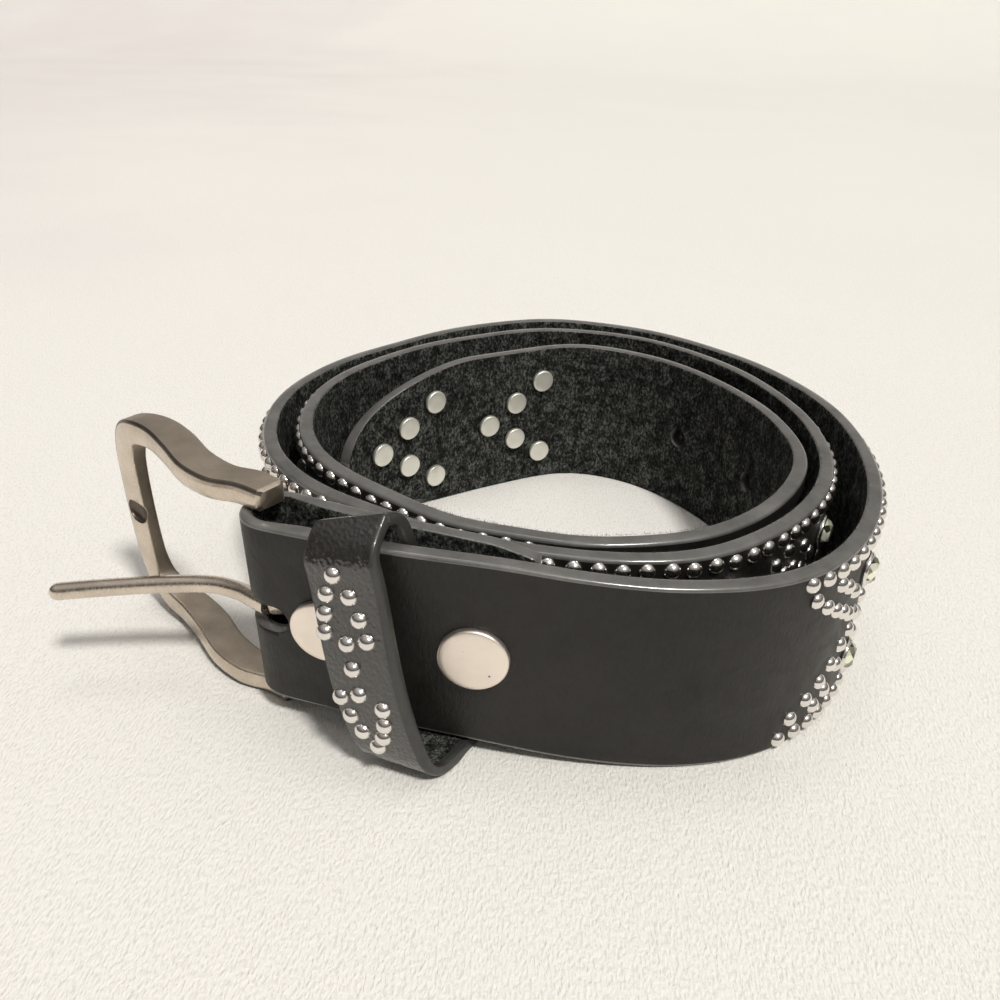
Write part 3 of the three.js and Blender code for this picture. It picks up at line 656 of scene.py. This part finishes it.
# The buckle's own axes: x out from the strap's end, y towards the front, z along the bar
BAR_AXIS = unit(np.array([*(FOLD_OUT * math.tan(math.radians(FOLD_LEAN))), 1.0]))
ENDWARD = np.array([-FOLD_ALONG[0], -FOLD_ALONG[1], 0.0])
FRONTWARD = unit(np.cross(BAR_AXIS, ENDWARD))
BUCKLE_AXES = np.stack([ENDWARD, FRONTWARD, BAR_AXIS])
BAR_POINT = np.array([
    *(FOLD_CENTRE - FOLD_ALONG * (STRAP_THICKNESS + FOLD_GAP / 2 - FOLD_THICKNESS - CLEARANCE - BAR_RADIUS)),
    HALF + FOLD_LIFT,
])


def cut_holes(strap):
    """Cuts the tongue's slot and the tail's holes through the strap."""
    round_ = SLOT_HEIGHT / 2
    outline = [(12.0, -round_), (12.0, round_)]
    outline += arc(-SLOT_PAST, 0, round_, 90, 270, 17)
    verts = []
    for y in (-25.0, 25.0):
        verts += [BAR_POINT + np.array([x, y, z]) @ BUCKLE_AXES for x, z in outline]
    n = len(outline)
    faces = [(i, (i + 1) % n, n + (i + 1) % n, n + i) for i in range(n)]
    faces += [tuple(range(n))[::-1], tuple(range(n, 2 * n))]
    bore = HOLE_DIAMETER / 2
    drill, drill_faces = lathe([(0, -4.5), (bore, -4.5), (bore, 1.0), (0, 1.0)], 40)
    at = STRAP_LENGTH - HOLE_FROM_TIP - HOLE_PITCH * np.arange(HOLE_COUNT)
    origins, axes = place_on_strap(at, np.zeros(HOLE_COUNT))
    holes, hole_faces = scatter(drill, drill_faces, origins, axes)
    faces += renumbered(hole_faces, len(verts))
    return cut_out(strap, piece("cutter", np.vstack([verts, holes]), faces, [EDGE], body=None))


strap = make_strap()
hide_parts("strap")


# ---- Stray fibres on the flesh side and along the edges

def make_fibres(name, count, s_low, s_high, on_edge):
    s = rng.uniform(s_low, s_high, count)
    high = half_width_at(s) - 0.5
    thick = thickness_at(s)
    point, along, out, up = strap_place(s)
    if on_edge:
        depth = -thick + rng.uniform(0.02, 0.5, count)
        height = np.where(rng.random(count) < 0.8, 1, -1) * (high + 0.5 - 0.15 * (0.5 - depth - thick))
        lean = unit(
            up * np.sign(height)[:, None] * rng.uniform(0.1, 1, count)[:, None]
            - out * rng.uniform(0.2, 1, count)[:, None] + along * rng.normal(0, 0.8, count)[:, None]
        )
        length = rng.gamma(2.0, 0.11, count) + 0.1
    else:
        depth = -thick + 0.02
        height = high * rng.uniform(-1, 1, count)
        lean = unit(
            -out * rng.uniform(0.15, 0.8, count)[:, None]
            + along * rng.normal(0, 0.9, count)[:, None] + up * rng.normal(0.25, 0.9, count)[:, None]
        )
        length = rng.gamma(2.2, 0.14, count) + 0.12
    base = point + out * np.reshape(depth, (-1, 1)) + up * height[:, None]
    side = unit(np.cross(lean, along + 0.3))
    other = np.cross(lean, side)
    bend = (side * rng.normal(0, 0.35, count)[:, None] + other * rng.normal(0, 0.35, count)[:, None])
    verts, faces = [], []
    radius = 0.028
    for k in range(count):
        start = len(verts)
        for share, size in ((0.0, 1.0), (0.55, 0.75)):
            middle = base[k] + (lean[k] * share + bend[k] * share * share) * length[k]
            for turn in (0.0, 2.1, 4.2):
                verts.append(middle + (side[k] * math.cos(turn) + other[k] * math.sin(turn)) * radius * size)
        verts.append(base[k] + (lean[k] + bend[k]) * length[k])
        for i in range(3):
            j = (i + 1) % 3
            faces.append((start + i, start + j, start + 3 + j, start + 3 + i))
            faces.append((start + 3 + i, start + 3 + j, start + 6))
        faces.append((start + 2, start + 1, start))
    return piece(name, verts, faces, [HAIR])


make_fibres("flesh_fibres", 15000, 2, STRAP_LENGTH - 2, False)
make_fibres("edge_fibres", 9000, 2, STRAP_LENGTH - 20, True)


# ---- Studs

def dome_mesh(diameter, height, sides):
    """A round-headed stud on z = 0, sunk a little into the leather, with a closed foot."""
    base = diameter / 2
    radius = (base * base + height * height) / (2 * height)
    edge = math.asin(base / radius)
    profile = [(0, height)]
    profile += [
        (radius * math.sin(edge * t), height - radius * (1 - math.cos(edge * t)))
        for t in (0.25, 0.5, 0.75, 1.0)
    ]
    profile += [(base * 0.99, -0.2), (0, -0.2)]
    return lathe(profile, sides)


def stud_places():
    """The studs of the pattern: edge rows, and the crossing diagonals with a V at each stone."""
    edge, inner = [], []
    s = PATTERN_START
    while s < PATTERN_END:
        edge += [(s, EDGE_STUD_HEIGHT), (s, -EDGE_STUD_HEIGHT)]
        s += EDGE_STUD_PITCH
    for at, h in LEAD_IN:
        inner += [(at, h), (at, -h)]
    crossings = int((PATTERN_END - FIRST_FROM_FOLD) / PATTERN_PITCH) + 1
    step = PATTERN_PITCH / 9
    for k in range(crossings):
        centre = FIRST_FROM_FOLD + k * PATTERN_PITCH
        inner.append((centre, 0.0))
        if k + 1 < crossings:
            for i in range(1, 9):
                h = 2.13 * min(i, 9 - i)
                inner += [(centre + step * i, h), (centre + step * i, -h)]
        for away, h in STONE_VEE:
            for sign in (-1, 1):
                if FIRST_FROM_FOLD - 18 < centre + sign * away < PATTERN_END:
                    inner += [(centre + sign * away, h), (centre + sign * away, -h)]
    return edge, inner


def stones_at():
    pairs = int((PATTERN_END - FIRST_FROM_FOLD) / PATTERN_PITCH) + 1
    return [
        (FIRST_FROM_FOLD + k * PATTERN_PITCH, side * FROM_MIDDLE)
        for k in range(min(pairs, PAIRS)) for side in (1, -1)
    ]


def thin_out(places, near, least):
    """Keeps the places that stand far enough from each other and from those already there."""
    kept = []
    for s, h in places:
        if all(math.hypot(s - a, h - b) >= least for a, b in kept[-40:]) and all(
            math.hypot(s - a, h - b) >= gap for a, b, gap in near
        ):
            kept.append((s, h))
    return kept


edge_places, inner_places = stud_places()
stone_gaps = [(s, h, (SETTING_DIAMETER + DOME_DIAMETER) / 2 + 0.1) for s, h in stones_at()]
inner_places = thin_out(inner_places, stone_gaps, DOME_DIAMETER + 0.1)
stud_verts, stud_faces = dome_mesh(DOME_DIAMETER, DOME_HEIGHT, 16)


def studs(name, places):
    places = np.array(places)
    jitter = rng.normal(0, 0.09, places.shape)
    from_fold, height = (places + jitter).T
    origins, axes = place_on_strap(FRONT_START + from_fold, height)
    lean = rng.normal(0, 0.05, (len(places), 2))
    tilted = axes.copy()
    tilted[:, 2] = unit(axes[:, 2] + axes[:, 0] * lean[:, :1] + axes[:, 1] * lean[:, 1:])
    tilted[:, 0] = unit(np.cross(tilted[:, 1], tilted[:, 2]))
    tilted[:, 1] = np.cross(tilted[:, 2], tilted[:, 0])
    points, faces = scatter(stud_verts, stud_faces, origins, tilted)
    return piece(name, points, faces, [STUD])


studs("edge_studs", edge_places)
studs("pattern_studs", inner_places)


# ---- Cut stones in their settings

def make_stones():
    """Octagonal stones with table, star, kite and girdle facets, and a thin beaded cup."""
    girdle, table = STONE_DIAMETER / 2, TABLE_DIAMETER / 2
    low, high = SETTING_RIM * 0.75, CLEARANCE + STONE_HEIGHT
    mid_r, mid_z = girdle * 0.80, low + (high - low) * 0.62
    eighth = math.pi / 4

    def ring(radius, z, offset, count=8):
        return [(radius * math.cos(offset + i * 2 * math.pi / count),
                 radius * math.sin(offset + i * 2 * math.pi / count), z) for i in range(count)]

    stone = ring(table, high, 0) + ring(mid_r, mid_z, eighth / 2)
    stone += ring(girdle, low, 0, 16) + ring(girdle, low - 0.25, 0, 16)
    stone += ring(table * 0.5, high, eighth / 2) + [(0, 0, high)]
    faces = []

    def face(*f):
        faces.append(f)

    for i in range(8):
        j = (i + 1) % 8
        face(i, 8 + i, j)
        g = 16 + 2 * i
        g1, g2 = 16 + (2 * i + 1) % 16, 16 + (2 * i + 2) % 16
        face(i, 8 + (i - 1) % 8, g, 8 + i)
        face(8 + i, g, g1)
        face(8 + i, g1, g2)
        face(i, j, 48 + i)
        face(48 + i, j, 48 + j)
        face(48 + i, 48 + j, 56)
    for i in range(16):
        j = (i + 1) % 16
        face(16 + i, 32 + i, 32 + j, 16 + j)
    face(*[32 + i for i in range(16)][::-1])
    cup = SETTING_DIAMETER / 2
    cup_verts, cup_faces = lathe([
        (0, -0.15), (cup, -0.15), (cup, SETTING_RIM * 0.7), (cup - 0.12, SETTING_RIM),
        (cup - 0.35, SETTING_RIM + 0.1), (girdle - 0.12, SETTING_RIM * 0.8), (girdle - 0.3, 0.4),
        (0, 0.4),
    ], 32)
    places = np.array(stones_at())
    origins, axes = place_on_strap(FRONT_START + places[:, 0], places[:, 1])
    turned = axes.copy()
    for k in range(len(places)):
        a = rng.uniform(0, eighth)
        turned[k, 0] = axes[k, 0] * math.cos(a) + axes[k, 1] * math.sin(a)
        turned[k, 1] = axes[k, 1] * math.cos(a) - axes[k, 0] * math.sin(a)
    names = [f"stone_{k + 1:02d}_{side}" for k in range(PAIRS) for side in "ab"]
    points, all_faces = scatter(np.array(stone, float), faces, origins, turned)
    stones = piece(
        "cut_stones", points, all_faces, [GLASS], smooth=False, nodes=names
    )
    # Painted reflection: a fixed light or dark tone for each facet, in place of the foil's glints.
    attribute = stones.data.attributes.new("painted_facet_glint", "FLOAT", "FACE")
    painted_glint_weights = rng.choice([0.0, 0.25, 0.55, 0.8, 1.0], len(all_faces), p=[0.2, 0.2, 0.22, 0.22, 0.16])
    attribute.data.foreach_set("value", painted_glint_weights + rng.uniform(-0.08, 0.08, len(all_faces)))
    points, all_faces = scatter(cup_verts, cup_faces, origins, turned)
    piece("stone_settings", points, all_faces, [STUD])


make_stones()


# ---- The rivets of the two chevrons

def make_rivets():
    places = [
        (STRAP_LENGTH - from_tip - CHEVRON_STEP * abs(arm), CHEVRON_RISE * arm)
        for from_tip in CHEVRONS_FROM_TIP for arm in (-2, -1, 0, 1, 2)
    ]
    places = np.array(places)
    origins, axes = place_on_strap(places[:, 0], places[:, 1])
    head, foot = HEAD_DIAMETER / 2, BACK_DIAMETER / 2
    inside = -STRAP_THICKNESS
    dome, dome_faces = lathe([
        (0, HEAD_HEIGHT), (head * 0.3, HEAD_HEIGHT * 0.95), (head * 0.58, HEAD_HEIGHT * 0.8),
        (head * 0.82, HEAD_HEIGHT * 0.5), (head * 0.97, 0.2), (head, 0.0), (head * 0.9, -0.15), (0, -0.15),
    ], 28)
    deep = inside - CLEARANCE - BACK_HEIGHT
    back, back_faces = lathe([
        (0, inside + 0.2), (foot * 0.82, inside + 0.2), (foot * 0.9, inside - 0.25), (foot, inside - 0.55),
        (foot, deep + 0.22), (foot * 0.965, deep + 0.06), (foot * 0.9, deep), (foot * 0.5, deep + 0.03),
        (0, deep + 0.05),
    ], 32)
    names = [f"rivet_{k + 1:02d}" for k in range(len(places))]
    points, faces = scatter(dome, dome_faces, origins, axes)
    piece("chevron_heads", points, faces, [STUD])
    points, faces = scatter(back, back_faces, origins, axes)
    piece("chevron_backs", points, faces, [BACK], nodes=names)


make_rivets()


# ---- The snaps

def flap_length(front_s):
    """Where a line straight in from a place on the front stretch meets the flap behind it."""
    point, along, _, _ = strap_place(front_s)
    s = np.arange(0, FOLD_START, 0.25)
    apart = np.abs((strap_place(s)[0] - point) @ along[0])
    return s[apart.argmin()]


def make_snaps():
    caps, cap_faces, plates, plate_faces = [], [], [], []
    for from_fold in SNAPS_FROM_FOLD:
        front = FRONT_START + from_fold
        flap = flap_length(front)
        gap = np.linalg.norm(strap_place(front)[0] - strap_place(flap)[0]) - 2 * STRAP_THICKNESS
        cap = CAP_DIAMETER / 2
        top = CAP_HEIGHT
        under = -STRAP_THICKNESS
        bottom = under - CLEARANCE - min(SOCKET_HEIGHT, gap - 2 * CLEARANCE)
        profile = [
            (0, top), (cap * 0.5, top - 0.03), (cap * 0.8, top - 0.1), (cap * 0.93, top - 0.2),
            (cap * 0.975, top - 0.33), (cap * 0.995, top - 0.55), (cap, top - 0.8), (cap, 0.1),
            (cap * 0.97, -0.08), (SHANK_DIAMETER / 2, -0.1), (SHANK_DIAMETER / 2, under),
            (SOCKET_DIAMETER / 2, under), (SOCKET_DIAMETER / 2, bottom + 0.3),
            (SOCKET_DIAMETER / 2 - 0.3, bottom), (STUD_DIAMETER / 2 + CLEARANCE, bottom),
            (STUD_DIAMETER / 2 + CLEARANCE, under), (0, under),
        ]
        verts, faces = lathe(profile, 72)
        origins, axes = place_on_strap(front, 0)
        caps.append(origins[0] + verts @ axes[0])
        cap_faces += renumbered(faces, len(verts) * (len(caps) - 1))
        reach = STRAP_THICKNESS + 2 * CLEARANCE
        pin_end = reach - (STRAP_THICKNESS + gap + CLEARANCE) - STRAP_THICKNESS + 0.3
        plate = PLATE_DIAMETER / 2
        verts, faces = lathe([
            (0, CLEARANCE + PLATE_HEIGHT), (plate * 0.85, CLEARANCE + PLATE_HEIGHT),
            (plate, PLATE_HEIGHT * 0.6), (plate, -0.05), (STUD_DIAMETER / 2, -0.1),
            (STUD_DIAMETER / 2, pin_end), (0, pin_end),
        ], 40)
        origins, axes = place_on_strap(flap, 0)
        plates.append(origins[0] + verts @ axes[0])
        plate_faces += renumbered(faces, len(verts) * (len(plates) - 1))
    piece("snap_caps", np.vstack(caps), cap_faces, [CAP],
          nodes=["snap_cap_1", "snap_cap_2"])
    piece("snap_plates", np.vstack(plates), plate_faces, [CAP],
          nodes=["snap_stud_1", "snap_stud_2"])


make_snaps()


# ---- The keeper

def bezier(p, steps):
    """Points on a Bezier curve through its control points, without the last one."""
    t = np.linspace(0, 1, steps, endpoint=False)[:, None]
    p = [np.array(q, float) for q in p]
    while len(p) > 1:
        p = [a * (1 - t) + b * t for a, b in zip(p, p[1:])]
    return p[0]


def keeper_outline(grow):
    """The keeper's outline across the strap, outward and up, grown from its inner face."""
    back = -STRAP_THICKNESS - CLEARANCE - grow
    top_out, bottom_out = KEEPER_ROOM + grow, KEEPER_STAND + grow
    bend = KEEPER_ROOM + grow
    wide_bend = 1.5 * bend
    high, low = HALF + KEEPER_ROOM + grow, -HALF - 0.4 * KEEPER_ROOM - grow
    shoulder = high - 0.2 * HALF - 1.5 * grow
    bulge = (top_out + (bottom_out - top_out) * 0.22, 0.4 * HALF)
    rise = (high - shoulder) / 2
    ease = rise * (bulge[0] - top_out) / (shoulder - bulge[1])
    return np.vstack([
        bezier([(back, high - bend), (back, low + bend)], 40),
        bezier([(back, low + bend), (back, low), (back + bend, low)], 12),
        bezier([(back + bend, low), (bottom_out - wide_bend, low)], 6),
        bezier([(bottom_out - wide_bend, low), (bottom_out, low), (bottom_out, low + wide_bend)], 16),
        bezier([(bottom_out, low + wide_bend), (bottom_out, -0.1 * HALF), bulge, (top_out, shoulder)], 60),
        bezier([
            (top_out, shoulder), (top_out - ease, shoulder + rise), (back / 3, high), (back + bend, high),
        ], 24),
        bezier([(back + bend, high), (back, high), (back, high - bend)], 12),
    ])


def keeper_points(o, u, a):
    along = a - LEAN_OUT * o - LEAN_UP * u
    point, _, out, up = strap_place(FRONT_START + KEEPER_FROM_FOLD + along)
    outward = o + ALONG_OUT * a * np.clip(o / KEEPER_ROOM, 0, 1)
    upward = u + ALONG_UP * a * np.maximum(u, 0) / HALF
    return point + out * outward[:, None] + up * upward[:, None]


def make_keeper():
    inner, outer = keeper_outline(0), keeper_outline(KEEPER_THICKNESS)
    rows = len(inner)
    wide, deep = KEEPER_WIDTH / 2, KEEPER_THICKNESS
    r_out, r_in = 0.55, 0.35
    section = [(a, 1.0, 0) for a in np.linspace(-wide + r_out, wide - r_out, 14)]
    section += [(x, y / deep, 1) for x, y in arc(wide - r_out, deep - r_out, r_out, 90, 0, 6)[1:]]
    section += [(x, y / deep, 1) for x, y in arc(wide - r_in, r_in, r_in, 0, -90, 5)]
    section += [(a, 0.0, 2) for a in np.linspace(wide - r_in, -wide + r_in, 14)[1:]]
    section += [(x, y / deep, 1) for x, y in arc(-wide + r_in, r_in, r_in, -90, -180, 5)[1:]]
    section += [(x, y / deep, 1) for x, y in arc(-wide + r_out, deep - r_out, r_out, 180, 90, 6)[:-1]]
    verts = []
    for i in range(rows):
        t = np.array([q[1] for q in section])[:, None]
        ou = inner[i] * (1 - t) + outer[i] * t
        verts.append(keeper_points(ou[:, 0], ou[:, 1], np.array([q[0] for q in section])))
    columns = len(section)
    faces = strip(rows, columns, closed_rows=True)
    parts = [q[2] for q in section]
    tags = [
        parts[c] if parts[c] == parts[(c + 1) % columns] else 1
        for _ in range(rows) for c in range(columns)
    ]
    piece("keeper_leather", np.vstack(verts), faces, [KEEPER_GRAIN, KEEPER_EDGE_PAINTED_SHADE, FLESH],
          tags=tags, nodes=["keeper"])


make_keeper()


# ---- The buckle

def in_buckle(points, swing):
    """Points in the buckle's own axes, swung about the bar by some degrees, to the belt's."""
    c, s = math.cos(math.radians(swing)), math.sin(math.radians(swing))
    p = np.asarray(points, float)
    turned = np.column_stack([c * p[:, 0] - s * p[:, 1], s * p[:, 0] + c * p[:, 1], p[:, 2]])
    return BAR_POINT + turned @ BUCKLE_AXES


def arm_section(deep, wide):
    """The arm's outline: forward, across, and part: 0 sandy sides toned darker as painted shade, 1 crowned
    front toned lighter as a painted highlight, 2 ridge toned darkest as painted shade.
    """
    corner = 0.6
    pts = [(y, w, 2) for y, w in arc(deep - corner, wide - corner, corner, 0, 90, 6)]
    pts += [(y, wide, 0) for y in np.linspace(deep - corner, -deep + corner, 5)[1:-1]]
    pts += [(y, w, 0) for y, w in arc(-deep + corner, wide - corner, corner, 90, 180, 5)]
    pts += [(-deep, w, 0) for w in np.linspace(wide - corner, -wide + corner, 4)[1:-1]]
    pts += [(y, w, 0) for y, w in arc(-deep + corner, -wide + corner, corner, 180, 270, 5)]
    pts += [(y, -wide, 0) for y in np.linspace(-deep + corner, deep - corner, 5)[1:-1]]
    pts += [(y, w, 1) for y, w in arc(deep - corner, -wide + corner, corner, 270, 360, 5)]
    crown = np.linspace(-wide + corner, wide - corner, 8)[1:-1]
    return pts + [(deep + 0.35 * (1 - (q / wide) ** 2), q, 1) for q in crown]


def make_frame():
    index = np.arange(len(ARM), dtype=float)
    keyed = np.column_stack([index, ARM])
    at = np.linspace(0, len(ARM) - 1, 10 * (len(ARM) - 1) + 1)
    arm = np.column_stack([table_at(keyed, at, c + 1) for c in range(5)])
    lower = arm[:-1][::-1].copy()
    lower[:, 1] *= -1
    rows = np.vstack([arm, lower])
    centre = np.column_stack([
        rows[:, 0] * FRAME_REACH,
        rows[:, 2] * FRAME_DEPTH,
        rows[:, 1] * (FRAME_HALF - rows[:, 4] * FRAME_WIDTH / 2),
    ])
    along = np.gradient(centre, axis=0)
    along[:, 1] = 0
    along = unit(along)
    verts = []
    for i, row in enumerate(rows):
        across = np.array([-along[i, 2], 0, along[i, 0]])
        end = 0.8 if i in (0, len(rows) - 1) else 1.0
        deep, wide = row[3] * FRAME_DEPTH / 2 * end, row[4] * FRAME_WIDTH / 2 * end
        section = arm_section(deep - 0.1, wide)
        verts += [centre[i] + across * w + np.array([0, y, 0]) for y, w, _ in section]
    parts = [q[2] for q in section]
    columns = len(parts)
    faces = strip(len(rows), columns) + ends(len(rows), columns)
    ring_tags = [min(parts[c], parts[(c + 1) % columns]) for c in range(columns)]
    tags = ring_tags * (len(rows) - 1)
    bar_end = FRAME_HALF - 1.2
    bar, bar_faces = lathe([(0, -bar_end), (BAR_RADIUS, -bar_end), (BAR_RADIUS, bar_end), (0, bar_end)], 32)
    faces += renumbered(bar_faces, len(verts))
    tags += [0] * (2 + len(bar_faces))
    verts = np.vstack([verts, bar])
    made = piece("buckle_metal", in_buckle(verts, -FRAME_SWING), faces, [SAND_AND_PAINTED_SHADE, FRONT_PAINTED_HIGHLIGHT, RIDGE_PAINTED_SHADE],
                 tags=tags, body="buckle", nodes=["buckle_frame"])
    smooth_by_angle(made, 40)
    notch, notch_faces = lathe([(math.sin(t), -math.cos(t)) for t in np.linspace(0, math.pi, 14)], 28)
    notch = notch * (3.2, 1.35, 2.6) + (FRAME_REACH - 1.3, 0.28 * FRAME_DEPTH, -1.0)
    # The notch's faces take the ridge's darkest tone: painted shade in the recess.
    cutter = piece("notch", in_buckle(notch, -FRAME_SWING), notch_faces, [RIDGE_PAINTED_SHADE], body=None)
    cut_out(made, cutter)


def make_tongue():
    points = TONGUE * TONGUE_REACH
    points[:, 2] *= -1
    knots = np.concatenate([[0], np.cumsum(np.linalg.norm(np.diff(points, axis=0), axis=1))])
    keyed = np.column_stack([knots, points])
    tip, last = 1.7, knots[-1] - 1.8
    tip_at = last - tip * np.cos(np.linspace(0.15, 1.5, 9))
    at = np.concatenate([np.linspace(0, last - tip, 70), tip_at])
    line = np.column_stack([table_at(keyed, at, c + 1) for c in range(3)])
    along = unit(np.gradient(line, axis=0))
    side = unit(np.cross(along, [0, 0, 1.0]))
    lift = np.cross(side, along)
    radius = TONGUE_DIAMETER / 2
    end = np.clip((last - at) / tip, 0, 1)
    size = radius * np.where(end < 1, np.sqrt(np.maximum(1 - (1 - end) ** 2, 0.01)), 1.0)
    turn = np.linspace(0, 2 * math.pi, 28, endpoint=False)
    power = 2 / 2.6
    c = np.sign(np.cos(turn)) * np.abs(np.cos(turn)) ** power
    s = np.sign(np.sin(turn)) * np.abs(np.sin(turn)) ** power
    spin = math.radians(-14)
    c, s = c * math.cos(spin) - s * math.sin(spin), c * math.sin(spin) + s * math.cos(spin)
    c, s = c * 0.86, s * 0.86
    verts = []
    for i in range(len(at)):
        verts.append(line[i] + (side[i] * c[:, None] + lift[i] * s[:, None]) * size[i])
    verts = np.vstack(verts)
    faces = strip(len(at), len(turn)) + ends(len(at), len(turn))
    inner, outer = BAR_RADIUS + CLEARANCE, BAR_RADIUS + CLEARANCE + TONGUE_WALL
    round_ = 0.45
    section = arc(outer - round_, radius - round_, round_, 0, 90, 5)
    section += [(inner, radius), (inner, -radius)]
    section += arc(outer - round_, -radius + round_, round_, 270, 360, 5)
    angles = np.linspace(0, 2 * math.pi, 48, endpoint=False)
    ring = [(r * math.cos(a), r * math.sin(a), z) for a in angles for r, z in section]
    faces += renumbered(strip(len(angles), len(section), closed_rows=True), len(verts))
    verts = np.vstack([verts, ring])
    made = piece("tongue_metal", in_buckle(verts, TONGUE_SWING), faces, [BRIGHT], body="tongue",
                 nodes=["tongue"])
    smooth_by_angle(made, 50)


make_frame()
make_tongue()


# ---- The keeper's studs: height, and distance from the motif's middle line
KEEPER_STUDS = [
    (15.2, 0), (11.8, 2.0), (8.2, 3.0), (4.8, 3.65), (3.6, 0), (-0.8, 0), (-5.4, 0), (-7.0, 3.65),
    (-10.3, 2.9), (-13.1, 1.8), (-15.6, 0),
]
KEEPER_MIDDLE = -1.1


def make_keeper_studs():
    outer = keeper_outline(KEEPER_THICKNESS)
    face = outer[outer[:, 0] > KEEPER_ROOM + KEEPER_THICKNESS - 0.5]
    face = face[face[:, 1].argsort()]
    places = [
        (u, KEEPER_MIDDLE + side * a) for u, a in KEEPER_STUDS for side in ((-1, 1) if a else (1,))
    ]
    u, a = np.array(places).T

    def on_face(height, aside):
        return keeper_points(np.interp(height, face[:, 1], face[:, 0]), height, aside)

    origin = on_face(u, a)
    along = unit(on_face(u, a + 0.3) - origin)
    up = unit(on_face(u + 0.5, a) - on_face(u - 0.5, a))
    outward = unit(np.cross(along, up))
    axes = np.stack([along, np.cross(outward, along), outward], 1)
    points, faces = scatter(stud_verts, stud_faces, origin, axes)
    piece("keeper_studs", points, faces, [STUD])


make_keeper_studs()


# ---- Floor, light and camera

def make_floor():
    """A flat floor that rises gently far behind the belt."""
    size, back, radius, steps, slope, far = 4.0, 1.6, 2.0, 12, 0.45, 3.0
    rows = [(-size, 0.0), (-0.4, 0.0), (0.4, 0.0), (back, 0.0)]
    turns = np.linspace(0.05, slope, steps)
    rows += [(back + radius * math.sin(t), radius * (1 - math.cos(t))) for t in turns]
    rows += [(rows[-1][0] + far * math.cos(slope), rows[-1][1] + far * math.sin(slope))]
    points = np.array([(x, y, z) for y, z in rows for x in (-size, 0.0, size)]) / MM - SHIFT
    corners = [3 * r + c for r in range(len(rows) - 1) for c in range(2)]
    faces = [(a, a + 1, a + 4, a + 3) for a in corners]
    piece("floor", points, faces, [FLOOR], body=None)


make_floor()


def light(name, kind, way, energy, colour, place=(0, 0, 0)):
    """A light that shines from way towards the belt."""
    data = bpy.data.lights.new(name, kind)
    data.energy = energy
    data.color = colour
    obj = bpy.data.objects.new(name, data)
    obj.location = place
    obj.rotation_euler = (-Vector(way)).to_track_quat("-Z", "Y").to_euler()
    bpy.context.scene.collection.objects.link(obj)
    return data


KEY_WAY = Vector((0.30, -0.47, 0.83)).normalized()
CEILING = (-0.1, 0.2, 1.5)
light("key", "SUN", KEY_WAY, 2.65, (1.0, 0.97, 0.93)).angle = 0.15
light("ceiling", "AREA", CEILING, 2.6, (1.0, 0.98, 0.96), CEILING).size = 0.5


def make_world():
    """A room: dark near the horizon, bright overhead, a little brighter on the right."""
    world = bpy.data.worlds.new("room")
    bpy.context.scene.world = world
    world.use_nodes = True
    tree = world.node_tree
    place = tree.nodes.new("ShaderNodeTexCoord")
    split = tree.nodes.new("ShaderNodeSeparateXYZ")
    ramp = tree.nodes.new("ShaderNodeValToRGB")
    side = tree.nodes.new("ShaderNodeMapRange")
    tree.links.new(place.outputs["Generated"], split.inputs[0])
    tree.links.new(split.outputs["Z"], ramp.inputs["Fac"])
    tree.links.new(split.outputs["X"], side.inputs["Value"])
    for name, value in (("From Min", -1), ("From Max", 1), ("To Min", 0.38), ("To Max", 0.68)):
        side.inputs[name].default_value = value
    stops = [(0.0, (0.12, 0.110, 0.103)), (0.22, (0.20, 0.184, 0.172)), (0.5, (0.50, 0.475, 0.45)),
             (0.85, (1.0, 0.97, 0.93))]
    while len(ramp.color_ramp.elements) < len(stops):
        ramp.color_ramp.elements.new(0.5)
    for element, (at, colour) in zip(ramp.color_ramp.elements, stops):
        element.position = at
        element.color = (*colour, 1)
    background = tree.nodes["Background"]
    tree.links.new(ramp.outputs["Color"], background.inputs["Color"])
    tree.links.new(side.outputs[0], background.inputs["Strength"])


make_world()


def make_camera():
    """The photograph's viewpoint: looking along +Y, 28 degrees down, rolled a little."""
    pitch, roll, focal_share = 0.491957, 0.040143, 0.93696
    forward = Vector((0, math.cos(pitch), -math.sin(pitch)))
    down = Vector((0, -math.sin(pitch), -math.cos(pitch)))
    right = Vector((1, 0, 0)) * math.cos(roll) - down * math.sin(roll)
    up = -(Vector((1, 0, 0)) * math.sin(roll) + down * math.cos(roll))
    data = bpy.data.cameras.new("camera")
    data.sensor_width = 36.0
    data.lens = data.sensor_width * focal_share
    data.clip_start = 0.005
    camera = bpy.data.objects.new("camera", data)
    place = (np.array([-13.5, -196.0, 120.32]) + SHIFT) * MM
    camera.matrix_world = Matrix((
        (right.x, up.x, -forward.x, place[0]),
        (right.y, up.y, -forward.y, place[1]),
        (right.z, up.z, -forward.z, place[2]),
        (0, 0, 0, 1),
    ))
    bpy.context.scene.collection.objects.link(camera)
    bpy.context.scene.camera = camera


make_camera()
bpy.context.scene.view_settings.view_transform = "Standard"
